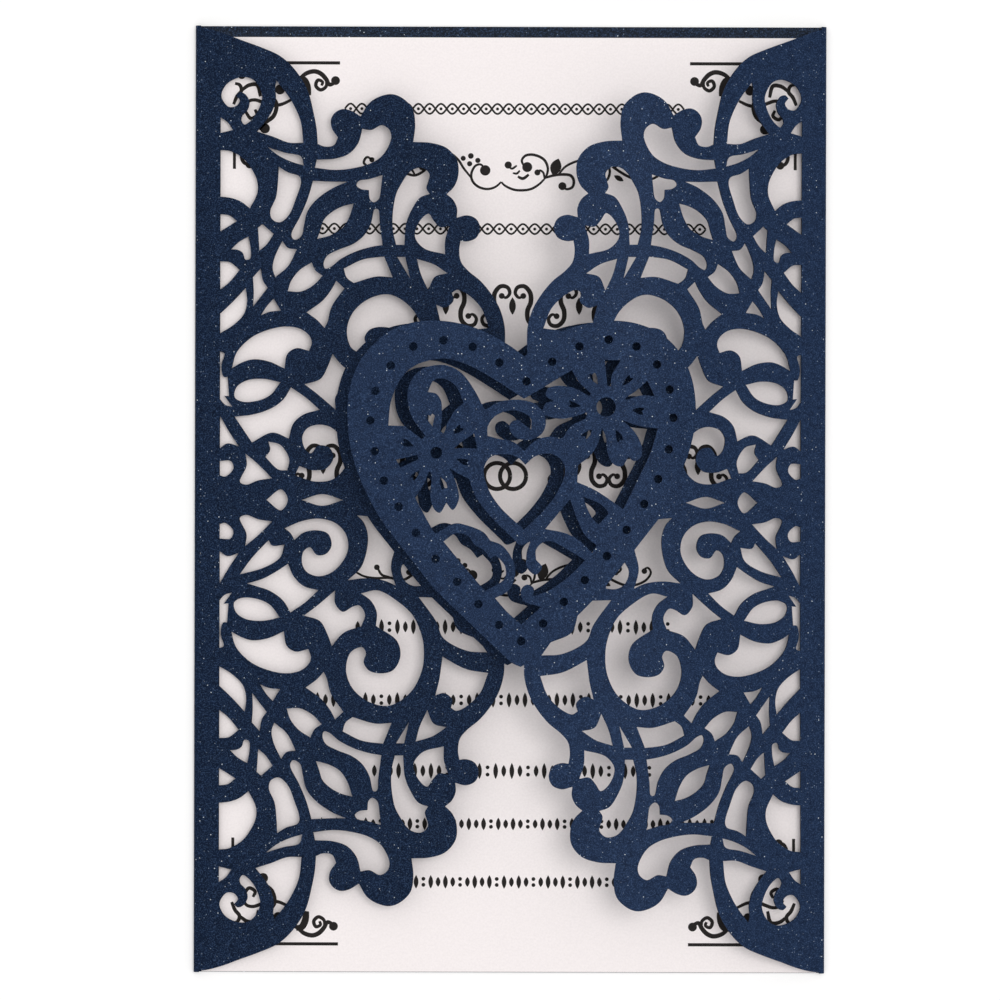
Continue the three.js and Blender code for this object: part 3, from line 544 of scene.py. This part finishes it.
# Rows of beads: (height, from, to, bead height, pitch)
BEAD_ROWS = [
    (627, 358, 668, 17, 8.0),
    (700, 310, 725, 17, 8.0),
    (771, 375, 650, 18, 8.2),
    (824, 315, 720, 14, 7.4),
    (882, 395, 615, 15, 7.4),
]
BEAD_WIDTH = 4.7
BEAD_HEIGHTS = (0.66, 0.9)
BEAD_DOT = 1.9
BEAD_DOT_PLACE = 0.2
BEADS_TO_DOTS = 5

# Pair of linked rings behind the little heart window
RINGS = [((497, 476), 13), ((513, 476), 13)]
RING_WIDTH = 4.2
RING_SIDES = 24

FOLD_RADIUS = (FOLD_GAP + SHEET) / 2
PANEL_HALF = CARD_WIDTH / 2 - SHEET / 2 - FOLD_RADIUS


def fold_arc(angle):
    """Length of a fold along the middle of the sheet."""
    return FOLD_RADIUS * math.radians(180 - angle)


def along_sheet(from_fold, angle):
    """Distance from the card's middle, round the fold, to a point of a flap."""
    arc_end = SHEET / 2 + FOLD_RADIUS - FOLD_RADIUS * math.sin(math.radians(angle))
    return PANEL_HALF + fold_arc(angle) + from_fold - arc_end


def lace_points(points, angle, side, flipped):
    """Drawn points on the flat sheet, each as (across, up, whether it is a corner)."""
    drop, squeeze, slip = RIGHT_LACE_SET if side > 0 else LEFT_LACE_SET
    up = -1 if flipped else 1
    result = []
    for p in points:
        height = up * (MIDDLE_LINE - p[1]) / UNITS_UP
        from_fold = (p[0] - FOLD_LINE) / UNITS_ACROSS
        loose = min(from_fold / LOOSE_FROM, 1)
        height -= loose * (drop + squeeze * height)
        slipped = slip * loose * min(max((height - SLIP_BOTTOM) / SLIP_RISE, 0), 1)
        from_fold += slipped * min(max((SLIP_END - from_fold) / SLIP_FADE, 0), 1)
        result.append((side * along_sheet(from_fold, angle), height, len(p) > 2))
    return result


def heart_points(points, angle, side):
    """The heart looks nearly the same on both flaps from the front."""
    widens = BACK_HEART_WIDENS if side < 0 else 0
    result = []
    for p in points:
        across = p[0] - HEART_LINE + widens * max(p[0] - BACK_HEART_WIDENS_FROM, 0)
        from_fold = HEART_CENTRE - side * across / HEART_UNITS
        result.append((side * along_sheet(from_fold, angle), (MIDDLE_LINE - p[1]) / HEART_UNITS, len(p) > 2))
    return result


def between(a, b, time_a, time_b, time):
    """Point at this time on the straight way from a to b."""
    return tuple(((time_b - time) * u + (time - time_a) * w) / (time_b - time_a) for u, w in zip(a, b))


def catmull_rom(p0, p1, p2, p3, count):
    """Centripetal stretch from p1 up to, but not including, p2."""
    t1 = max(math.dist(p0, p1), SHORTEST) ** 0.5
    t2 = t1 + max(math.dist(p1, p2), SHORTEST) ** 0.5
    t3 = t2 + max(math.dist(p2, p3), SHORTEST) ** 0.5
    result = []
    for i in range(count):
        t = t1 + (t2 - t1) * i / count
        a1 = between(p0, p1, 0, t1, t)
        a2 = between(p1, p2, t1, t2, t)
        a3 = between(p2, p3, t2, t3, t)
        b1 = between(a1, a2, 0, t2, t)
        b2 = between(a2, a3, t1, t3, t)
        result.append(between(b1, b2, t1, t2, t))
    return result


def smooth_run(points, step):
    """Open smooth stretch through points, with its last point left off."""
    first = tuple(2 * a - b for a, b in zip(points[0], points[1]))
    last = tuple(2 * a - b for a, b in zip(points[-1], points[-2]))
    full = [first, *points, last]
    result = []
    for i in range(1, len(full) - 2):
        count = max(2, round(math.dist(full[i], full[i + 1]) / step))
        result += catmull_rom(*full[i - 1:i + 3], count)
    return result


def smooth_outline(points):
    """Closed outline, smooth between its corners. It has one corner at least."""
    flat = [(p[0], p[1]) for p in points]
    corners = [i for i, p in enumerate(points) if p[2]]
    count = len(flat)
    result = []
    for k, start in enumerate(corners):
        end = corners[(k + 1) % len(corners)]
        length = (end - start - 1) % count + 1
        stretch = [flat[(start + i) % count] for i in range(length + 1)]
        result += smooth_run(stretch, SAMPLE_STEP) if length > 1 else [stretch[0]]
    return result


def circle(centre, radius, sides=DOT_SIDES):
    turns = [2 * math.pi * i / sides for i in range(sides)]
    return [(centre[0] + radius * math.cos(t), centre[1] + radius * math.sin(t)) for t in turns]


def rectangle(x0, y0, x1, y1):
    return [(x0, y0), (x1, y0), (x1, y1), (x0, y1)]


class Region:
    """Outlines in one plane, each with a role, cut into triangles together."""

    def __init__(self):
        self.points = []
        self.edges = []
        self.faces = []
        self.roles = []

    def outline(self, points, role):
        area = sum(a[0] * b[1] - b[0] * a[1] for a, b in zip(points, points[1:] + points[:1]))
        ordered = points if area > 0 else points[::-1]
        start = len(self.points)
        self.points += ordered
        self.faces.append(list(range(start, start + len(ordered))))
        self.roles.append(role)

    def line(self, a, b):
        start = len(self.points)
        self.points += [a, b]
        self.edges.append((start, start + 1))

    def triangles(self, keep):
        """(points, triangles) of what keep(roles) says is solid, with only the points it needs."""
        coords = [Vector(p) for p in self.points]
        whole_hull = 0
        points, _, faces, _, _, sources = geometry.delaunay_2d_cdt(
            coords, self.edges, self.faces, whole_hull, MERGE_DISTANCE, True)
        kept = []
        for face, source in zip(faces, sources):
            if source and keep({self.roles[i] for i in source}):
                kept.append(face)
        used = sorted({i for face in kept for i in face})
        place = {old: new for new, old in enumerate(used)}
        flat = np.array([tuple(points[i]) for i in used])
        return flat, [[place[i] for i in face] for face in kept]


def add_flap(region, angle, side):
    """Lace and heart of one flap."""
    past_middle = MIDDLE_LINE + HALVES_OVERLAP
    for flipped in (False, True):
        half = [*FLAP_EDGE, (FLAP_EDGE[-1][0], past_middle, 1), (FOLD_LINE, past_middle, 1)]
        region.outline(smooth_outline(lace_points(half, angle, side, flipped)), "lace")
        own = LOWER_CUTS if flipped else UPPER_CUTS
        for cut in [*MIRRORED_CUTS.values(), *own.values()]:
            region.outline(smooth_outline(lace_points(cut, angle, side, flipped)), "lace_cut")
    for cut in MIDDLE_CUTS.values():
        region.outline(smooth_outline(lace_points(cut, angle, side, False)), "lace_cut")
    region.outline(smooth_outline(heart_points(HEART_EDGE, angle, side)), "heart")
    for cut in [*HEART_CUTS.values(), *PETAL_DROPS]:
        region.outline(smooth_outline(heart_points(cut, angle, side)), "heart_cut")
    dots = [(centre, RIM_DOT_RADIUS) for centre in RIM_DOTS]
    dots += [(LEFT_FLOWER, LEFT_FLOWER_RADIUS), (RIGHT_FLOWER, RIGHT_FLOWER_RADIUS)]
    for centre, radius in dots:
        place = heart_points([centre], angle, side)[0]
        region.outline(circle(place, radius), "heart_cut")


def add_bend_lines(region, angle, side):
    """Lines along which the folds and the flap bend, and lines across the flap for the twist."""
    fold = side * along_sheet(0, angle)
    top = CARD_HEIGHT / 2
    for i in range(FOLD_STRIPS + 1):
        across = side * (PANEL_HALF + fold_arc(angle) * i / FOLD_STRIPS)
        region.line((across, -top), (across, top))
    reach = along_sheet(FLAP_REACH, angle)
    across = fold + side * BEND_STEP
    while abs(across) < reach:
        region.line((across, -top), (across, top))
        across += side * BEND_STEP
    height = -top + GRID_STEP
    while height < top:
        region.line((fold, height), (side * reach, height))
        height += GRID_STEP


def sheet_solid(roles):
    """Solid where the heart is and, off it, where the panel or lace is and no lace cut is."""
    if "heart_cut" in roles:
        return False
    return "heart" in roles or "panel" in roles or ("lace" in roles and "lace_cut" not in roles)


def section(side):
    """Stretches of the folded section from the card's middle outwards: (length, turn in degrees).

    The fold is the stretch at FOLD_STRETCH. The last stretch runs past the end of the flap.
    """
    if side < 0:
        return [(PANEL_HALF, 0), (fold_arc(LEFT_ANGLE), 180 - LEFT_ANGLE), (CARD_WIDTH, 0)]
    ease = RIGHT_EASE_END - RIGHT_EASE_START
    return [
        (PANEL_HALF, 0),
        (fold_arc(RIGHT_ANGLE), 180 - RIGHT_ANGLE),
        (RIGHT_EASE_START, 0),
        (ease, RIGHT_ANGLE - RIGHT_END_ANGLE),
        (CARD_WIDTH, 0),
    ]


def folded(flat, offset):
    """Places flat sheet points in space. offset is from the sheet's middle to its inner face."""
    result = np.empty((len(flat), 3))
    for side in (-1, 1):
        chosen = np.sign(flat[:, 0] + TINY) == side
        s, up = np.abs(flat[chosen, 0]), flat[chosen, 1]
        twist = 1 + TWIST_PER_MM * up if side > 0 else np.ones_like(up)
        heading = np.zeros_like(s)
        x, z = np.zeros_like(s), np.full_like(s, SHEET / 2)
        start = 0.0
        for i, (length, turn) in enumerate(section(side)):
            run = np.clip(s - start, 0, length)
            turned = 180 - (180 - turn) * twist if i == FOLD_STRETCH else turn * twist
            rate = np.radians(turned) / length
            bent = np.abs(rate) > TINY
            safe = np.where(bent, rate, 1)
            x += np.where(bent, (np.sin(heading + rate * run) - np.sin(heading)) / safe,
                          run * np.cos(heading))
            z += np.where(bent, (np.cos(heading) - np.cos(heading + rate * run)) / safe,
                          run * np.sin(heading))
            heading = heading + rate * run
            start += length
        x -= offset * np.sin(heading)
        z += offset * np.cos(heading)
        result[chosen] = np.stack([side * x, up, z], axis=1)
    return result


def mesh_object(name, points, faces, slots=None):
    """Mesh object from points in millimetres."""
    mesh = bpy.data.meshes.new(name)
    mesh.from_pydata([tuple(p) for p in np.asarray(points) * MM], [], faces)
    if slots is not None:
        mesh.polygons.foreach_set("material_index", slots)
    mesh.validate()
    mesh.update()
    piece = bpy.data.objects.new(name, mesh)
    bpy.context.collection.objects.link(piece)
    return piece


def face_materials(middle):
    """Materials of the inner and outer face of the sheet at this place across it."""
    left_crown = -PANEL_HALF - fold_arc(LEFT_ANGLE) / 2
    # Past the crown of the left fold, both faces take the darker navy copy that paints the left flap's shade
    if middle < left_crown:
        return [SHADED_LEFT_NAVY, SHADED_LEFT_NAVY]
    return [INSIDE_NAVY if abs(middle) < PANEL_HALF else NAVY, NAVY]


def build_wrap():
    """The navy sheet: panel, folds, lace and hearts, cut from one flat region and then folded."""
    region = Region()
    reach = PANEL_HALF + fold_arc(LEFT_ANGLE) + PLAIN_PAST_FOLD
    top = CARD_HEIGHT / 2
    region.outline(rectangle(-reach, -top, reach, top), "panel")
    for angle, side in ((LEFT_ANGLE, -1), (RIGHT_ANGLE, 1)):
        add_flap(region, angle, side)
        add_bend_lines(region, angle, side)
    flat, triangles = region.triangles(sheet_solid)
    count = len(flat)
    edges = {(f[i], f[i - 2]) for f in triangles for i in range(3)}
    faces, slots = [], []
    for a, b, c in triangles:
        faces += [(a + count, b + count, c + count), (a, c, b)]
        slots += face_materials((flat[a][0] + flat[b][0] + flat[c][0]) / 3)
        for p, q in ((a, b), (b, c), (c, a)):
            if (q, p) not in edges:
                faces.append((p, q, q + count, p + count))
                slots.append(BURNT)
    points = np.concatenate([folded(flat, -SHEET / 2), folded(flat, SHEET / 2)])
    wrap = mesh_object("wrap", points, faces, slots)
    wrap.data.shade_smooth()
    wrap.data.set_sharp_from_angle(angle=math.radians(SMOOTH_ANGLE))
    return wrap


class Ink:
    """Flat printed marks, gathered into one mesh."""

    def __init__(self):
        self.points = []
        self.faces = []
        self.marks = 0

    def area(self, left, right):
        """Mark between two rows of points, both given in drawing units."""
        top = INSERT_TOP + INK_LIFT + INK_THICKNESS + INK_STAGGER * (self.marks % INK_LEVELS)
        start, count = len(self.points), len(left)
        for z in (top, INSERT_TOP + INK_LIFT):
            for row in (left, right):
                self.points += [((x - PRINT_ACROSS) / PRINT_UNITS, (PRINT_DOWN - y) / PRINT_UNITS, z)
                                for x, y in row]
        low = 2 * count
        for i in range(count - 1):
            a, b = start + i, start + count + i
            self.faces.append((a, a + 1, b + 1, b))
            self.faces.append((a + low, b + low, b + low + 1, a + low + 1))
            self.faces.append((a, a + low, a + low + 1, a + 1))
            self.faces.append((b + 1, b + low + 1, b + low, b))
        self.marks += 1

    def stroke(self, points, width, taper):
        """Pen stroke that swells in the middle. Taper is its share of the width at the ends."""
        path = smooth_run([tuple(map(float, p)) for p in points], STROKE_STEP) + [points[-1]]
        left, right = [], []
        last = len(path) - 1
        for i, (x, y) in enumerate(path):
            a, b = path[max(i - 1, 0)], path[min(i + 1, last)]
            run = math.dist(a, b) or 1
            nx, ny = -(b[1] - a[1]) / run, (b[0] - a[0]) / run
            half = width / 2 * (taper + (1 - taper) * math.sin(math.pi * i / last) ** SWELL)
            left.append((x + nx * half, y + ny * half))
            right.append((x - nx * half, y - ny * half))
        self.area(left, right)

    def ball(self, centre, radius):
        self.leaf(centre, 2 * radius, 2 * radius, 0, roundness=0.5)

    def leaf(self, centre, length, width, angle, roundness=1.0):
        """Leaf with its tips along angle. Roundness 0.5 makes it an oval."""
        c, s = math.cos(math.radians(angle)), -math.sin(math.radians(angle))
        left, right = [], []
        for i in range(LEAF_STEPS + 1):
            t = -math.cos(math.pi * i / LEAF_STEPS)
            half = width / 2 * (1 - t * t) ** roundness
            along = t * length / 2
            left.append((centre[0] + along * c - half * s, centre[1] + along * s + half * c))
            right.append((centre[0] + along * c + half * s, centre[1] + along * s - half * c))
        self.area(left, right)


def print_corners(ink):
    """The corner scroll in all four corners, mirrored across and down."""
    for across in (False, True):
        for down in (False, True):
            def turned(point):
                x = 2 * PRINT_CENTRE - point[0] if across else point[0]
                y = 2 * PRINT_MIDDLE - point[1] if down else point[1]
                return (x, y)
            for points, width in CORNER_STROKES:
                ink.stroke([turned(p) for p in points], width, PEN_TAPER)
            for start, end, width in CORNER_RULES:
                ink.stroke([turned(start), turned(end)], width, EVEN)
            for centre, radius in CORNER_BALLS:
                ink.ball(turned(centre), radius)


def print_vine(ink, shift):
    """The vine divider, moved across and down by shift."""
    def moved(point):
        return (point[0] + shift[0], point[1] + shift[1])
    for points, width in VINE_STROKES:
        ink.stroke([moved(p) for p in points], width * PEN_PRESSURE, PEN_TAPER)
    for centre, radius in VINE_BALLS:
        ink.ball(moved(centre), radius)
    for centre, length, width, angle in VINE_LEAVES:
        ink.leaf(moved(centre), length, width, angle)


def print_twist(ink, height, start, end, size, eye, width):
    """Two waves that cross, with a dot in every eye."""
    eyes = round((end - start) / eye)
    for way in (-1, 1):
        points = []
        for i in range(eyes * EYE_STEPS + 1):
            across = start + (end - start) * i / (eyes * EYE_STEPS)
            points.append((across, height + way * size * math.sin(math.pi * i / EYE_STEPS)))
        ink.stroke(points, width, EVEN)
    for i in range(eyes):
        ink.ball((start + (end - start) * (i + 0.5) / eyes, height), EYE_DOT)


def print_scrolls(ink, height, start, end, size, pitch):
    """Row of scrolls, every second one mirrored, with a leaf between the two of a pair."""
    count = 2 * round((end - start) / pitch / 2)
    step = (end - start) / count
    for i in range(count):
        way = -1 if i % 2 else 1
        centre = start + (i + 0.5) * step
        stroke = [(centre + way * size * x, height + size * y) for x, y in SCROLL_STROKE]
        ink.stroke(stroke, SCROLL_WIDTH, SCROLL_TAPER)
        for end_point in (stroke[0], stroke[-1]):
            ink.ball(end_point, SCROLL_BALL)
        if i % 2:
            length, width = (size * share for share in SCROLL_LEAF)
            ink.leaf((centre - step / 2, height), length, width, UPRIGHT)


def print_beads(ink, height, start, end, tall, pitch):
    """Row of upright lozenges, long and short by turns, with a pair of small dots for every fifth."""
    count = round((end - start) / pitch)
    for i in range(count + 1):
        x = start + i * (end - start) / count
        if (i + 1) % BEADS_TO_DOTS == 0:
            ink.ball((x, height - tall * BEAD_DOT_PLACE), BEAD_DOT)
            ink.ball((x, height + tall * BEAD_DOT_PLACE), BEAD_DOT)
        else:
            ink.leaf((x, height), tall * BEAD_HEIGHTS[i % 2], BEAD_WIDTH, UPRIGHT)


def build_print():
    ink = Ink()
    print_corners(ink)
    print_vine(ink, (0, 0))
    print_vine(ink, SECOND_VINE)
    for row in TWIST_ROWS:
        print_twist(ink, *row)
    for row in SCROLL_ROWS:
        print_scrolls(ink, *row)
    for row in BEAD_ROWS:
        print_beads(ink, *row)
    for centre, radius in RINGS:
        ring = [*circle(centre, radius, RING_SIDES), (centre[0] + radius, centre[1])]
        ink.stroke(ring, RING_WIDTH, EVEN)
    return mesh_object("print_ink", ink.points, ink.faces)


def build_insert():
    """White card with barely eased edges."""
    low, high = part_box("insert_card")
    x0, y0, z0 = (value / MM for value in low)
    x1, y1, z1 = (value / MM for value in high)
    ease = INSERT_EASE
    points, faces = [], []
    for inset, z in ((ease, z0), (0, z0 + ease), (0, z1 - ease), (ease, z1)):
        points += [(x, y, z) for x, y in rectangle(x0 + inset, y0 + inset, x1 - inset, y1 - inset)]
    for ring in range(3):
        for i in range(4):
            a, b = ring * 4 + i, ring * 4 + (i + 1) % 4
            faces.append((a, b, b + 4, a + 4))
    faces += [(3, 2, 1, 0), (12, 13, 14, 15)]
    return mesh_object("insert", points, faces)


def srgb(red, green, blue):
    """Screen colour, 0 to 255, as a linear colour."""
    def linear(value):
        value /= 255
        return value / 12.92 if value <= 0.04045 else ((value + 0.055) / 1.055) ** 2.4
    return (linear(red), linear(green), linear(blue), 1)


class Nodes:
    """Short way to build a material."""

    def __init__(self, name):
        self.material = bpy.data.materials.new(name)
        self.material.use_nodes = True
        self.tree = self.material.node_tree
        self.shader = self.tree.nodes["Principled BSDF"]
        self.coords = self.add("ShaderNodeTexCoord", {}).outputs["Object"]

    def add(self, kind, inputs, **settings):
        """New node with these settings and inputs."""
        node = self.tree.nodes.new(kind)
        for key, value in settings.items():
            setattr(node, key, value)
        self.feed(node, inputs)
        return node

    def feed(self, node, inputs):
        """Links each input that is given a socket, and sets each that is given a value."""
        for key, value in inputs.items():
            if isinstance(value, bpy.types.NodeSocket):
                self.tree.links.new(value, node.inputs[key])
            else:
                node.inputs[key].default_value = value

    def noise(self, scale, detail):
        node = self.add("ShaderNodeTexNoise", {"Vector": self.coords, "Scale": scale, "Detail": detail})
        return node.outputs["Fac"]

    def ramp(self, source, low, high):
        """0 at low, 1 at high, and straight between."""
        inputs = {"Value": source, "From Min": low, "From Max": high}
        return self.add("ShaderNodeMapRange", inputs, clamp=True).outputs["Result"]

    def math(self, operation, first, second):
        return self.add("ShaderNodeMath", {0: first, 1: second}, operation=operation).outputs[0]

    def mix(self, factor, first, second):
        inputs = {0: factor, 6: first, 7: second}
        return self.add("ShaderNodeMix", inputs, data_type="RGBA").outputs[2]

    def specks(self, cell, radius, share):
        """Sparse round specks: 1 in a speck and 0 off it, on a share of cells of this size in metres."""
        cells = self.add("ShaderNodeTexVoronoi", {"Vector": self.coords, "Scale": 1 / cell})
        chance = self.add("ShaderNodeSeparateColor", {"Color": cells.outputs["Color"]})
        chosen = self.ramp(chance.outputs["Red"], 1 - share, 1 - share / 2)
        near = self.ramp(cells.outputs["Distance"], radius, radius * SPECK_CORE)
        return self.math("MULTIPLY", chosen, near)

    def mottle(self, scale, detail, tones, low=0.3, high=0.7):
        """Soft mottle between two screen colours."""
        dark, light = (srgb(*tone) for tone in tones)
        return self.mix(self.ramp(self.noise(scale, detail), low, high), dark, light)

    def surface(self, colour, roughness, specular):
        inputs = {"Base Color": colour, "Roughness": roughness, "Specular IOR Level": specular}
        self.feed(self.shader, inputs)

    def bump(self, height, strength, distance):
        node = self.add("ShaderNodeBump", {"Height": height, "Strength": strength, "Distance": distance})
        self.feed(self.shader, {"Normal": node.outputs["Normal"]})


def navy_pearl(name, tones):
    """Navy pearl card: a cloudy deep blue with a fine mica grain and painted glints of light on the mica."""
    n = Nodes(name)
    base = n.mottle(900, 3, tones)
    grain = n.ramp(n.noise(4600, 1), 0.48, 0.78)
    base = n.mix(n.math("MULTIPLY", grain, GRAIN_STRENGTH), base, srgb(*GRAIN_TONE))
    # Painted highlights: pale glints and bright specks mixed into the base colour stand in for light catching
    # the mica flakes
    painted_glint = n.specks(cell=0.00042, radius=0.24, share=0.1)
    base = n.mix(n.math("MULTIPLY", painted_glint, PAINTED_GLINT_STRENGTH), base, srgb(*PAINTED_GLINT_TONE))
    bright = n.specks(cell=0.0007, radius=0.15, share=0.11)
    base = n.mix(bright, base, srgb(*PAINTED_SPECK_TONE))
    n.surface(base, roughness=0.48, specular=0.08)
    n.feed(n.shader, {"Metallic": 0.22})
    n.bump(n.noise(5200, 2), strength=0.25, distance=0.00004)
    return n.material


def burnt_edge():
    """Cut edge, browned nearly black by the laser."""
    n = Nodes("burnt_edge")
    n.surface(n.mottle(1500, 2, BURNT_TONES, 0.35, 0.65), roughness=0.8, specular=0.15)
    return n.material


def white_pearl():
    """White pearl card with a faint mottle."""
    n = Nodes("white_pearl")
    n.surface(n.mottle(2600, 3, WHITE_TONES), roughness=0.5, specular=0.3)
    n.bump(n.noise(4200, 2), strength=0.2, distance=0.00003)
    return n.material


def black_ink():
    """Warm black print."""
    n = Nodes("black_ink")
    n.surface(n.mottle(2500, 2, INK_TONES), roughness=0.6, specular=0.2)
    return n.material


def backdrop_material():
    """White that is seen, also in gloss and glass, a little brighter than it lights the card."""
    n = Nodes("backdrop")
    paper = n.ramp(n.noise(3, 1), 0.3, 0.7)
    n.surface(n.mix(paper, *BACKDROP_TONES), roughness=0.9, specular=0.0)
    path = n.add("ShaderNodeLightPath", {}).outputs
    seen = n.math("MAXIMUM", path["Is Camera Ray"], path["Is Glossy Ray"])
    seen = n.math("MAXIMUM", seen, path["Is Transmission Ray"])
    glow = n.math("MULTIPLY", seen, BACKDROP_GLOW)
    n.feed(n.shader, {"Emission Color": (1, 1, 1, 1), "Emission Strength": glow})
    return n.material


def build_floor():
    """Pale floor just under the card."""
    corners = rectangle(-FLOOR_HALF, -FLOOR_HALF, FLOOR_HALF, FLOOR_HALF)
    floor = mesh_object("floor", [(x, y, -FLOOR_BELOW) for x, y in corners], [(0, 1, 2, 3)])
    floor.data.materials.append(backdrop_material())


def add_light(name, place, power, size, colour):
    """Round soft light that points at the middle of the card."""
    data = bpy.data.lights.new(name, "AREA")
    data.energy = power
    data.shape = "DISK"
    data.size = size
    data.color = colour
    light = bpy.data.objects.new(name, data)
    light.location = place
    light.rotation_euler = (-Vector(place)).to_track_quat("-Z", "Y").to_euler()
    bpy.context.collection.objects.link(light)


def light_scene():
    """Even white light all round, with one soft light above and a little to the right."""
    world = bpy.data.worlds.new("studio")
    world.use_nodes = True
    background = world.node_tree.nodes["Background"]
    background.inputs["Color"].default_value = (1, 1, 1, 1)
    background.inputs["Strength"].default_value = WORLD_STRENGTH
    bpy.context.scene.world = world
    add_light("key", KEY_PLACE, KEY_POWER, KEY_SIZE, KEY_COLOUR)


def add_camera():
    """Straight down on the card, from far enough to see it nearly flat."""
    data = bpy.data.cameras.new("camera")
    data.sensor_width = SENSOR_WIDTH
    data.lens = data.sensor_width * CAMERA_HEIGHT / VIEW_WIDTH
    data.clip_start = CLIP_START
    camera = bpy.data.objects.new("camera", data)
    camera.location = (CAMERA_X * MM, CAMERA_Y * MM, CAMERA_HEIGHT * MM)
    camera.rotation_euler = (0, 0, math.radians(CAMERA_ROLL))
    bpy.context.collection.objects.link(camera)
    bpy.context.scene.camera = camera


def dress(piece, node, slot, *materials):
    """Puts a piece in the place of its CAD node. The print has no node and no slot of its own. The slot
    argument is not used.
    """
    for material in materials:
        piece.data.materials.append(material)
    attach(piece, "root")
    if node:
        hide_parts(node)


def main():
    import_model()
    bpy.context.scene.view_settings.view_transform = "Standard"
    navy = navy_pearl("navy_pearl", NAVY_TONES)
    # The left flap's copy is darker, as painted shade
    shaded_left_navy = navy_pearl("navy_pearl_left_painted_shade", SHADED_LEFT_NAVY_TONES)
    inside_navy = navy_pearl("navy_pearl_inside", INSIDE_NAVY_TONES)
    dress(build_wrap(), "gatefold_wrap", "navy_pearl", navy, burnt_edge(), shaded_left_navy, inside_navy)
    dress(build_insert(), "insert_card", "white_pearl", white_pearl())
    dress(build_print(), None, None, black_ink())
    build_floor()
    light_scene()
    add_camera()


main()
